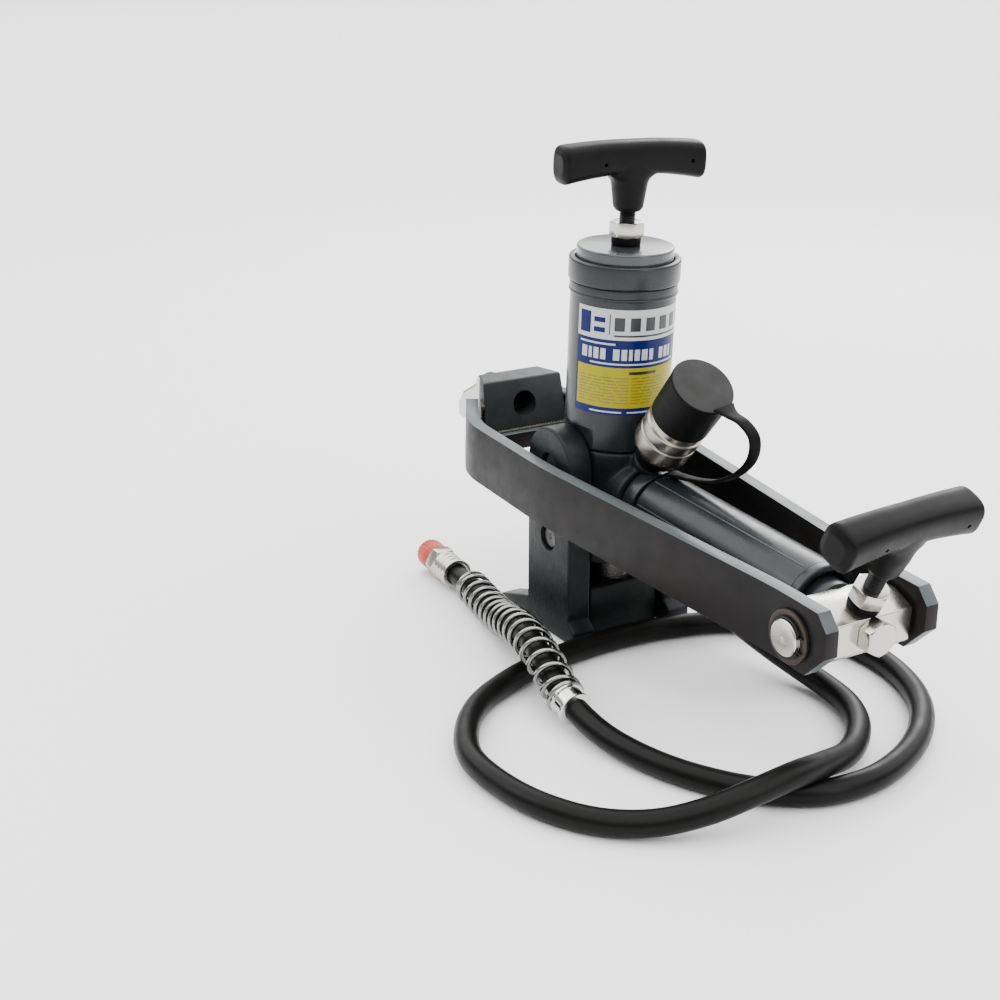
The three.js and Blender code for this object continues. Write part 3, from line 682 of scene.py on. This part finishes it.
def build_hose_port():
    fitting = joined(rod("hose_port", 6.6, -10, 9), hexagon("port_hex", 19, 8, 17),
                     rod("port_nose", 8.5, 16, 23))
    placed(fitting, PORT_AXIS, "root", "zinc_plate", "zinc", "hose_port_fitting")
    ferrule = crimped("hose_port_crimp", 10.5, HOSE_R + GAP, 23.4, 44, 3)
    placed(ferrule, PORT_AXIS, "root", "zinc_plate", "zinc", "hose_port_ferrule")


# ---- body and cylinders

def build_body():
    half = BODY["half"]
    flats = prism("flats", [(-40, -half), (40, -half), (40, half), (-40, half)], 50, 140)
    barrel = rod("body", BODY["r"], BODY["bottom"], BODY["shoulder"], 96, 0)
    barrel = combined(barrel, "INTERSECT", flats)
    along_x = shift(0, 0, CLAMP["z"]) @ spin(90, "Y")
    boss = moved(rod("boss", NECK["boss_r"], 0, NECK["boss_end"], 96), along_x)
    web_end = NECK["boss_end"] - 2
    web = prism("web", [(0, 80), (web_end, 84), (web_end, 116), (24, 121), (0, 123)], -14, 14, "xz")
    coupler = moved(rod("coupler_boss", 11.5, -20, 9.5), shift(COUPLER["x"], 0, COUPLER["z"])
                    @ spin(COUPLER["lean"], "Y"))
    port = moved(rod("port_boss", 11, -14, 5), shift(*HOSE_PORT) @ aimed(HOSE_AIM))
    body = remeshed(joined(barrel, boss, web, coupler, port), 0.9, 14)
    placed(body, TOOL, "root", "slate_paint", "cast", "body_casting", sharp=60)
    collar_start, collar_end = 43, 54.8
    collar = ring("neck_collar", 23.2, 12, collar_start, collar_end, 128, 1.2)
    placed(collar, CLAMP_AXIS, "root", "slate_paint", "slate")
    shadow_gap = rod("neck_spigot", NECK["r"] - 1, collar_end - 2, CLAMP["start"] + 2)
    placed(shadow_gap, CLAMP_AXIS, "root", "slate_paint", "dark")
    rear, front, half = REST_BAR["rear"], REST_BAR["front"], REST_BAR["half"]
    bar = prism("rest_bar", [(rear, -half), (front, -half), (front, half), (rear, half)], REST_BAR["low"],
                REST_BAR["high"])
    placed(bevelled(bar, 1.4, 4), TOOL, "root", "slate_paint", "cast", "yoke_rest_bar")


def build_main_cylinder():
    r, top = MAIN["r"], MAIN["top"]
    tube_body = turned("main_tube", [
        (MAIN["bore"], BODY["shoulder"] + GAP), (r - 1, BODY["shoulder"] + GAP), (r, BODY["shoulder"] + 1.3),
        (r, top - 6), (r + 0.7, top - 5.2), (r + 0.7, top), (MAIN["bore"], top)], 160, 0.6)
    tube_body = combined(tube_body, "INTERSECT", bottom_flats())
    placed(tube_body, TOOL, "root", "slate_paint", "slate", "main_cylinder_tube")
    collar = ring("main_collar", MAIN["ring_r"], MAIN["lid_r"] + GAP, top + GAP, MAIN["ring_top"], 160, 1.6)
    placed(collar, TOOL, "root", "slate_paint", "slate", "main_cylinder_collar")
    lid_r, lid_top = MAIN["lid_r"], MAIN["lid_top"]
    lid = turned("main_lid", [
        (0, 232), (27.2, 232), (27.2, top + GAP), (lid_r, top + GAP), (lid_r, lid_top - 0.8),
        (lid_r - 0.8, lid_top), (0, lid_top)], 160, 0.5)
    placed(lid, TOOL, "root", "slate_paint", "lid", "main_cylinder_lid")
    collar_weld = weld("collar_weld", circle_points(r + 0.3, top - 6.3, 300), 0.8, 300)
    placed(collar_weld, TOOL, "root", "slate_paint", "slate")


def circle_points(radius, z, count):
    angles = np.linspace(0, 2 * np.pi, count)
    return np.stack([radius * np.cos(angles), radius * np.sin(angles), np.full(count, z)], axis=1)


def bottom_flats():
    """What the tube keeps: all of it above flat_top, and what lies between the casting's flats below."""
    half, flat_top = BODY["half"], 148.5
    outline = [(-half, 130), (half, 130), (half, flat_top), (40, flat_top + 2), (40, 245), (-40, 245),
               (-40, flat_top + 2), (-half, flat_top)]
    flats = prism("flats", outline, -40, 40, "xz")
    return moved(flats, spin(90, "Z"))


def weld(name, points, radius, ripples):
    """A bead with the ripples of its passes."""
    run = np.linspace(0, 1, len(points))
    radii = radius * (1 + 0.18 * np.cos(2 * np.pi * ripples * run) + 0.1 * np.sin(41 * run))
    return tube(name, points, radii, 10)


def curved_patch(name, start, end, low, high, inner, outer):
    """A thin patch wrapped round the main cylinder, between two angles in degrees."""
    count = max(2, int((end - start) / 2.5) + 1)
    angles = np.radians(np.linspace(start, end, count))
    vertices, faces = [], []
    for angle in angles:
        for radius, z in ((inner, low), (outer, low), (outer, high), (inner, high)):
            vertices.append((radius * math.cos(angle), radius * math.sin(angle), z))
    for i in range(count - 1):
        for k in range(4):
            faces.append((4 * i + k, 4 * i + (k + 1) % 4, 4 * i + 4 + (k + 1) % 4, 4 * i + 4 + k))
    faces += [(0, 1, 2, 3), tuple(4 * count - 4 + k for k in range(4))]
    return outward(mesh_object(name, vertices, faces))


def label_marks():
    """Generic print: (start angle, end angle, low, high, ink)."""
    marks = [(-83, -69, 212.5, 226.5, "label_blue"), (-65, -52, 214, 217.2, "label_blue"),
             (-65, -52, 220.4, 223.6, "label_blue"), (-47.5, -46.3, 213, 226, "label_ink")]
    for k in range(6):
        start = -42 + 17 * k
        marks.append((start, start + 11, 215.5, 224.2, "label_ink"))
    marks.append((-42, 60, 211.8, 213, "label_ink"))
    marks.append((-82, -40, 206.2, 207.4, "label_white"))
    edge = -79
    for width in (9, 6, 8, 8, 0, 9, 8, 6, 8, 9, 7, 0, 8, 8, 6):
        if width:
            marks.append((edge, edge + width - 2.2, 196.6, 203.8, "label_white"))
        edge += width or 6
    marks.append((-68, 40, 193.4, 194.5, "label_white"))
    marks.append((-24, 8, 187.2, 189.2, "label_ink"))
    for row in range(9):
        z = 184.4 - 2.05 * row
        start = -81.0
        for k in range(9):
            length = 9 + 7 * ((3 * row + 5 * k) % 4) / 3
            marks.append((start, min(start + length, 62), z, z + 0.75, "label_olive"))
            start += length + 2.5
            if start > 56:
                break
    marks.append((-66, -30, 161.6, 162.6, "label_white"))
    marks.append((-24, 10, 161.6, 162.6, "label_white"))
    return marks


def build_label():
    r = MAIN["r"]
    bands = [(-87, 66, 209.6, 229.2, "label_white"), (-87, 66, 159.9, 209.6, "label_blue")]
    panel = [(-84.6, 66, 165, 191.6, "label_yellow")]
    layers = [(bands, r + 0.02, r + 0.12), (panel, r + 0.06, r + 0.15), (label_marks(), r + 0.08, r + 0.18)]
    inks = ["label_white", "label_blue", "label_yellow", "label_ink", "label_olive"]
    whole = None
    for patches, inner, outer in layers:
        for start, end, low, high, ink in patches:
            patch = curved_patch("print", start, end, low, high, inner, outer)
            for name in inks:
                patch.data.materials.append(MATERIALS[name])
            for face in patch.data.polygons:
                face.material_index = inks.index(ink)
            whole = patch if whole is None else joined(whole, patch)
    whole.name = "rating_label"
    placed(whole, TOOL, "root", "slate_paint", "label_white")


def build_clamp_cylinder():
    r, start, end = CLAMP["r"], CLAMP["start"], CLAMP["end"]
    bore, nose_end, rod_r = CLAMP["bore"], CLAMP["ring_end"], CLAMP["rod_r"]
    barrel = turned("clamp_tube", [
        (7, start), (r - 1.4, start), (r, start + 1.4), (r, end - 0.4), (r - 0.5, end), (bore, end),
        (bore, start + 6), (7, start + 6)], 160, 0.4)
    placed(barrel, CLAMP_AXIS, "root", "slate_paint", "slate", "clamp_cylinder_tube")
    nose = turned("clamp_nose", [
        (bore, end + GAP), (r + 0.5, end + GAP), (r + 0.5, nose_end - 1), (r - 0.5, nose_end),
        (bore + 1.7, nose_end), (bore, nose_end - 1.7)], 160, 0.5)
    placed(nose, CLAMP_AXIS, "root", "slate_paint", "slate", "clamp_front_ring")
    plunger = turned("clamp_rod", [
        (0, 190), (12, 190), (12, 66), (19, 66), (19, 82), (rod_r, 82), (rod_r, 222), (0, 222)], 128, 0.4)
    placed(plunger, CLAMP_AXIS, "clamp_ram", "slate_paint", "slate", "clamp_plunger")
    # Two thin lighter lines along the tube's top and near side: a painted highlight of the overhead light.
    for number, angle in enumerate((203, 248)):
        highlight_line = tube(f"clamp_highlight_line_{number + 1}", highlight_line_points(r, angle, start + 3, end - 3), 0.4, 8)
        placed(highlight_line, CLAMP_AXIS, "root", "slate_paint", "cut_edge_and_highlight")


# Points of one straight painted highlight line on the tube, at an angle round it.
def highlight_line_points(radius, angle, low, high):
    x, y = radius * math.cos(math.radians(angle)), radius * math.sin(math.radians(angle))
    return np.linspace((x, y, low), (x, y, high), 30)


# ---- trunnion block and handles

def build_trunnion():
    rear, front, low, high = (BLOCK[k] for k in ("rear", "front", "low", "high"))
    outline = [(rear, low), (front - 3, low), (front, low + 3), (front, BLOCK["lip"]), (BLOCK["ridge"], high),
               (rear, high)]
    block = bevelled(prism("clamp_block", outline, -BLOCK["half"], BLOCK["half"], "xz"), 0.8)
    placed(block, TOOL, "clamp_ram", "zinc_plate", "zinc", "trunnion_block")
    head = joined(hexagon("bolt_head", 19, BLOCK["front"] + GAP, BLOCK["front"] + 9, both=False),
                  rod("bolt_face", 9.3, BLOCK["front"] + 0.05, BLOCK["front"] + 1))
    placed(head, CLAMP_AXIS, "clamp_ram", "zinc_plate", "zinc", "clamp_bolt")
    r, end, groove_r = TRUNNION["r"], TRUNNION["end"], TRUNNION["groove_r"]
    groove_low, groove_high = TRUNNION["groove_low"], TRUNNION["groove_high"]
    for word, side in SIDES:
        where = along_y(TOOL, side, TRUNNION["x"], TRUNNION["z"])
        pin = turned(f"trunnion_pin_{word}", [
            (0, 28), (r, 28), (r, groove_low - 0.1), (groove_r, groove_low), (groove_r, groove_high),
            (r, groove_high + 0.1), (r, end - 0.8), (r - 0.8, end), (1.2, end), (0, end - 0.6)], 96, 0.15)
        placed(pin, where, "clamp_ram", "zinc_plate", "zinc")
        washer = ring(f"pivot_washer_{word}", 15.5, r + GAP, 40.6, 42.9)
        placed(washer, where, "clamp_ram", "charcoal_paint", "bronze", f"trunnion_washer_{word}")
        placed(circlip(f"pivot_circlip_{word}"), where, "clamp_ram", "spring_steel", "oxide",
               f"trunnion_circlip_{word}")


def circlip(name):
    """An open ring that grows into two lugs at its ends."""
    angles = np.radians(np.linspace(18, 342, 90))
    from_end = np.clip(np.minimum(angles - angles[0], angles[-1] - angles) / math.radians(26), 0, 1)
    inner, outer = 9.7, 12.1 + 2.0 * (1 - from_end) ** 2
    outline = [(o * math.cos(a), o * math.sin(a)) for o, a in zip(outer, angles)]
    outline += [(inner * math.cos(a), inner * math.sin(a)) for a in angles[::-1]]
    clip = prism(name, outline, 43.35, 44.45)
    lug_holes = [moved(rod("lug_hole", 0.9, 42, 46, 24, 0), shift(12.4 * math.cos(a), 12.4 * math.sin(a), 0))
                 for a in (math.radians(26), math.radians(334))]
    return combined(clip, "DIFFERENCE", *lug_holes)


def squircle(centre, half_a, half_b, axis_a, axis_b, power, sides=48):
    """A rounded-square ring of points."""
    angles = 2 * np.pi * np.arange(sides) / sides
    c, s = np.cos(angles), np.sin(angles)
    bulge = (np.abs(c) ** power + np.abs(s) ** power) ** (-1 / power)
    return np.array(centre) + (bulge * c * half_a)[:, None] * np.array(axis_a) \
        + (bulge * s * half_b)[:, None] * np.array(axis_b)


def grip_bar(bar_z):
    """The arched bar, fuller at its rounded ends."""
    rings = []
    for s in np.linspace(-1, 1, 121):
        closing = max(0.0, (abs(s) - 0.93) / 0.07)
        round_off = max(0.62, (1 - closing ** 2.6) ** 0.4) if closing < 1 else 0.62
        swell = abs(s) ** 1.5
        half_high = (10.3 + 1.6 * swell) * round_off
        half_wide = (10.4 + 1.4 * swell) * round_off
        centre = (0, HANDLE["bar_half"] * s, bar_z + 1.9 - 3.9 * s * s)
        rings.append(squircle(centre, half_wide, half_high, (1, 0, 0), (0, 0, 1), 3.1))
    return skinned("bar", rings)


def grip_neck(neck_low, bar_z):
    """The neck, chamfered at its foot and flared into the bar along it."""
    rings = []
    for z in np.linspace(neck_low, bar_z - 2, 60):
        up = z - neck_low
        half = 7.4 + 1.7 * min(up / 2.5, 1) + 1.7 * min(up / 14, 1)
        flare = 7 * math.exp(-(bar_z - 9 - z) / 2.4) if z < bar_z - 9 else 7
        rings.append(squircle((0, 0, z), half - 0.4, half + flare, (1, 0, 0), (0, 1, 0), 2.3))
    return skinned("neck", rings)


def build_handle(prefix, seat, body, heights):
    neck_low, bar_z = heights["neck"], heights["bar"]
    handle = remeshed(joined(grip_bar(bar_z), grip_neck(neck_low, bar_z)), 0.75, 7)
    holes = [moved(rod("mould_hole", 1.25, 6, 16, 24, 0), shift(0, y, bar_z - 1) @ spin(90, "Y"))
             for y in (-22, 38)]
    handle = combined(handle, "DIFFERENCE", *holes)
    handle.name = f"{prefix}_t_grip"
    placed(handle, seat, body, "black_plastic", "handle", f"{prefix}_grip", sharp=60)
    root_r, crest_r, pitch = HANDLE["root_r"], HANDLE["stud_r"], HANDLE["pitch"]
    thread = [(0, 2)]
    for k in range(int((neck_low - 0.5) / pitch)):
        thread += [(root_r, 2 + pitch * k), (crest_r, 2 + pitch / 2 + pitch * k)]
    thread += [(root_r, neck_low + 2), (0, neck_low + 2)]
    stud = turned(f"{prefix}_thread", thread, 48, 0)
    placed(stud, seat, body, "black_oxide", "oxide", f"{prefix}_stud", sharp=70)
    washer = turned(f"{prefix}_rubber_washer", [(0, 0.2), (9.3, 0.2), (9.5, 2.5), (9.3, 5), (0, 5)], 72, 0.6)
    placed(washer, seat, body, "black_rubber", "rubber", f"{prefix}_washer")
    nut = hexagon(f"{prefix}_nut", HANDLE["nut_flats"], 5.2, 15)
    placed(nut, seat, body, "zinc_plate", "zinc", f"{prefix}_lock_nut")


# ---- coupler

def build_coupler():
    nipple = joined(rod("coupler_body", 6.6, -8, 12), hexagon("coupler_hex", 17, 11, 14.6),
                    rod("coupler_nose", 9, 14, 76))
    placed(nipple, COUPLER_AXIS, "root", "satin_nickel", "nickel", "coupler_nipple")
    strap_ring = ring("strap_ring", 13.6, 9.8, 15, 20.5, 72, 1.0)
    placed(strap_ring, COUPLER_AXIS, "root", "black_rubber", "rubber", "coupler_strap_ring")
    low, high = COUPLER["sleeve_low"], COUPLER["cap_low"] - GAP
    outline = [
        (9.8, low), (15.6, low), (17.8, low + 1.6), (19.2, low + 4.5), (19.3, low + 15.5), (18.6, low + 16.2),
        (18.6, low + 17.2), (19.4, low + 18), (19.4, high - 6.5), (18.2, high - 5), (17.9, high), (9.8, high)]
    sleeve = turned("lock_sleeve", outline, 160, 0.5)
    placed(sleeve, COUPLER_AXIS, "coupler_sleeve_body", "satin_nickel", "nickel", "coupler_sleeve")
    build_cap()


def build_cap():
    low, top = COUPLER["cap_low"], COUPLER["cap_top"]
    cap = turned("dust_cover", [
        (0, top), (20, top), (20.6, top - 0.7), (20.6, top - 2.6), (20.2, top - 3.2), (19.7, low + 0.8),
        (19.3, low), (12, low), (12, 79), (0, 79)], 128, 0.5)
    cap = second_material(cap, "rubber", "cap_top", lambda face: face.normal.z > 0.9 and face.center.z > 80)
    placed(cap, COUPLER_AXIS, "dust_cap_body", "black_rubber", "rubber", "dust_cap")
    build_strap()


def build_strap():
    """The flat strap from the ring on the coupler to the cap, wider at both ends."""
    line = even(centripetal(STRAP_ROUTE, 16), 120)
    tangents = np.gradient(line, axis=0)
    tangents /= np.linalg.norm(tangents, axis=1)[:, None]
    rings = []
    for i, (point, tangent) in enumerate(zip(line, tangents)):
        run = i / (len(line) - 1)
        across = STRAP_ACROSS - tangent * (STRAP_ACROSS @ tangent)
        across /= np.linalg.norm(across)
        half_wide = 4 + 4.5 * math.exp(-(1 - run) * 22) + 2.5 * math.exp(-run * 14)
        rings.append(squircle(point, half_wide, 1.15, across, np.cross(tangent, across), 4, 20))
    strap = skinned("cover_strap", rings)
    placed(strap, TOOL, None, "black_rubber", "rubber", "cap_strap", sharp=50)
    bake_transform(strap)


# ---- legs, foot and yoke

def build_legs():
    outline = [(LEG["toe_x"], 0), (LEG["heel_x"], 0), (LEG["heel_x"], 10), (LEG["half"], 16),
               *arc(0, LEG["pin_z"], LEG["half"], 0, 180, 48), (-LEG["half"], 17), (LEG["toe_x"], 4.5)]
    r, start, end = LEG_PIN["r"], LEG_PIN["from"], LEG_PIN["to"]
    for word, side in SIDES:
        sides = sorted((side * LEG["inner"], side * LEG["outer"]))
        plate = bevelled(prism(f"leg_plate_{word}", outline, *sides, "xz"), 1.8, 4)
        holes = []
        for level, z in (("upper", LEG["pin_z"]), ("lower", LEG["low_pin_z"])):
            where = along_y(GROUND, side, 0, z)
            hole = turned("pin_hole", [
                (0, 28), (r + GAP, 28), (r + GAP, 46.5), (r + 1.6, 48.5), (0, 48.5)], 64, 0)
            holes.append(moved(hole, where))
            pin = turned(f"{level}_pivot_{word}", [
                (0, start), (r, start), (r, end - 1.2), (r - 1.2, end), (2.4, end), (0, end - 1.6)], 64, 0.3)
            placed(pin, where, "root", "satin_nickel", "worn_pin", f"leg_{level}_pin_{word}")
        plate = combined(plate, "DIFFERENCE", *holes)
        placed(plate, GROUND, "root", "charcoal_paint", "cast", f"leg_{word}")


def build_foot():
    half, top = FOOT["half"], FOOT["top"]
    outline = [(-half, 0), (half, 0), (half, top), (-half, top)]
    block = prism("foot_block", outline, -FOOT["half_width"], FOOT["half_width"], "xz")
    block = bevelled(block, 1.8, 4)
    pin_axis = along_y(TOOL, 1, 0, FOOT["pin_z"])
    pin_hole = moved(rod("hole", FOOT["pin_r"] + GAP, -30, 30, 48, 0), pin_axis)
    placed(combined(block, "DIFFERENCE", pin_hole), GROUND, "main_ram", "slate_paint", "cast", "push_foot")
    pin = rod("foot_cross_pin", FOOT["pin_r"], -26, 26, 48, 0.8)
    placed(pin, pin_axis, "main_ram", "satin_nickel", "nickel", "push_foot_pin")
    ram = turned("ram_rod", [
        (0, 60), (13.5, 60), (13.5, 230), (27, 230), (27, 214), (17, 214), (17, 13), (0, 13)], 96, 0.4)
    placed(ram, TOOL, "main_ram", "hard_chrome", "ram", "main_plunger")


def offset_inside(outline, distance):
    """The plan outline moved to its inner side by the plate's thickness."""
    points = [Vector(p) for p in outline]
    result = []
    for i, point in enumerate(points):
        pairs = [(points[i - 1], point)] if i else []
        pairs += [(point, points[i + 1])] if i + 1 < len(points) else []
        normals = [Vector((b.y - a.y, a.x - b.x)).normalized() for a, b in pairs]
        mean = sum(normals, Vector((0, 0))).normalized()
        result.append(tuple(point - mean * (distance / mean.dot(normals[0]))))
    return result


def build_yoke_plate(word, side):
    outer = rounded(PLATE_PLAN, PLATE["bend"], closed=False, steps=8)
    inner = rounded(offset_inside(PLATE_PLAN, PLATE["thick"]), PLATE["bend"], closed=False, steps=8)
    plan = [(x, side * y) for x, y in (*outer, *inner[::-1])]
    low, high, end = PLATE["low"], PLATE["high"], PLATE["end"]
    outline = [(-150, low), (246, low), (end, 100), (end - 1, 115), (end - 9, high), (-150, high)]
    plate = combined(prism(f"yoke_arm_{word}", plan, low - 5, high + 5), "INTERSECT",
                     prism("profile", outline, -70, 70, "xz"))
    hole = moved(rod("hole", TRUNNION["r"] + GAP, 25, 60, 72, 0),
                 along_y(GROUND, side, TRUNNION["x"], TRUNNION["z"]))
    plate = bevelled(combined(plate, "DIFFERENCE", hole), 0.9, 3, 28)
    # The top and bottom edge faces take the lighter paint: painted light where the top edges face the
    # overhead lamp.
    plate = second_material(plate, "plate", "cut_edge_and_highlight", lambda face: abs(face.normal.z) > 0.35)
    placed(plate, TOOL, "yoke", "charcoal_paint", "plate", f"yoke_plate_{word}")


def build_claw():
    low, high, bottom_x, top_x, tip_x = (CLAW[k] for k in ("low", "high", "bottom_x", "top_x", "tip_x"))
    outline = [(bottom_x, low), (top_x, high), (-141, high), (-146, 131), (-166, 119), (tip_x, 109),
               (tip_x + 2, 99), (-164, 98), (-156, 106), (-146, low)]
    plan = [(bottom_x, -35), (bottom_x, 35), (top_x, 32.5), (-139, 25.5), (tip_x, 24), (tip_x, -24),
            (-139, -25.5), (top_x, -32.5)]
    block = combined(prism("claw_jaw", outline, -40, 40, "xz"), "INTERSECT", prism("plan", plan, 90, 145))
    block = bevelled(block, 1.4, 4, 25)
    screw_r = CLAW["screw_r"]
    hole = rod("hole", screw_r + GAP, -180, -100, 72, 0)
    moved(hole, shift(0, 0, CLAW["screw_z"]) @ spin(90, "Y"))
    block = combined(block, "DIFFERENCE", hole)
    block = second_material(block, "claw", "zinc", lambda face: face.center.x < -150 and face.center.z < 116)
    placed(block, TOOL, "yoke", "slate_paint", "claw", "claw_block")
    screw = turned("claw_grub_screw", [
        (0, -170), (screw_r - 1, -170), (screw_r, -169), (screw_r, -128.5), (screw_r - 1.5, -127), (0, -127)],
        72, 0.3)
    screw = combined(screw, "DIFFERENCE", prism("socket", hexagon_corners(8), -135, -120))
    where = TOOL @ shift(0, 0, CLAW["screw_z"]) @ spin(90, "Y")
    placed(screw, where, "claw_screw_body", "satin_nickel", "oxide", "claw_screw")
    build_cross_plate()


def build_cross_plate():
    plan = [(-106, -43), (-106, 43), (-119, 36.2), (-119, -36.2)]
    plate = bevelled(prism("claw_web", plan, 90.5, CLAW["low"] - GAP), 0.8, 3)
    # The cross plate's top face takes the lighter paint: painted light from above.
    plate = second_material(plate, "plate", "cut_edge_and_highlight", lambda face: face.normal.z > 0.5)
    placed(plate, TOOL, "yoke", "charcoal_paint", "plate", "claw_cross_plate")
    line = np.linspace((-111.6, -34, CLAW["low"]), (-111.6, 34, CLAW["low"]), 160)
    placed(weld("claw_bead", line, 1.5, 26), TOOL, "yoke", "charcoal_paint", "bead")
    for word, side in SIDES:
        line = np.linspace((-114, side * 36.4, 123.2), (-134, side * 25.4, 123.2), 90)
        placed(weld(f"arm_bead_{word}", line, 1.3, 15), TOOL, "yoke", "charcoal_paint", "bead")
        line = np.linspace((-106.5, side * 43.2, 91), (-106.5, side * 43.2, 102), 50)
        placed(weld(f"web_bead_{word}", line, 1.4, 8), TOOL, "yoke", "charcoal_paint", "bead")


def build_yoke():
    for word, side in SIDES:
        build_yoke_plate(word, side)
        sides = sorted((side * 38, side * 47.6))
        lug = prism(f"rest_lug_{word}", [(34, 92), (46, 92), (46, 100), (34, 100)], *sides, "xz")
        lug = bevelled(lug, 1.2)
        placed(lug, TOOL, "yoke", "charcoal_paint", "plate", f"yoke_rest_lug_{word}")
    build_claw()


def finish_cad_nodes():
    """The inner pieces stay as the CAD made them, with the finish of their slot."""
    finishes = {
        "slate_paint": "slate", "charcoal_paint": "plate", "zinc_plate": "zinc", "hard_chrome": "chrome",
        "satin_nickel": "nickel", "black_plastic": "handle", "black_oxide": "oxide",
        "black_rubber": "rubber", "spring_steel": "spring", "orange_plastic": "orange"}
    slots = {part["node"]: part["material_slot"] for part in frame["record"]["subparts"]}
    for name, piece in frame["nodes"].items():
        piece.data.materials.clear()
        piece.data.materials.append(MATERIALS[finishes[slots[name]]])


add_camera()
build_hose()
add_world()
add_floor(MATERIALS["floor"])
for light_settings in LIGHTS:
    add_light(*light_settings)
build_hose_port()
build_body()
build_main_cylinder()
build_label()
build_clamp_cylinder()
build_trunnion()
build_handle("top_handle", TOP_SEAT, "root", TOP_HANDLE)
build_handle("end_handle", END_SEAT, "clamp_ram", END_HANDLE)
build_coupler()
build_legs()
build_foot()
build_yoke()
finish_cad_nodes()
bpy.context.view_layer.update()
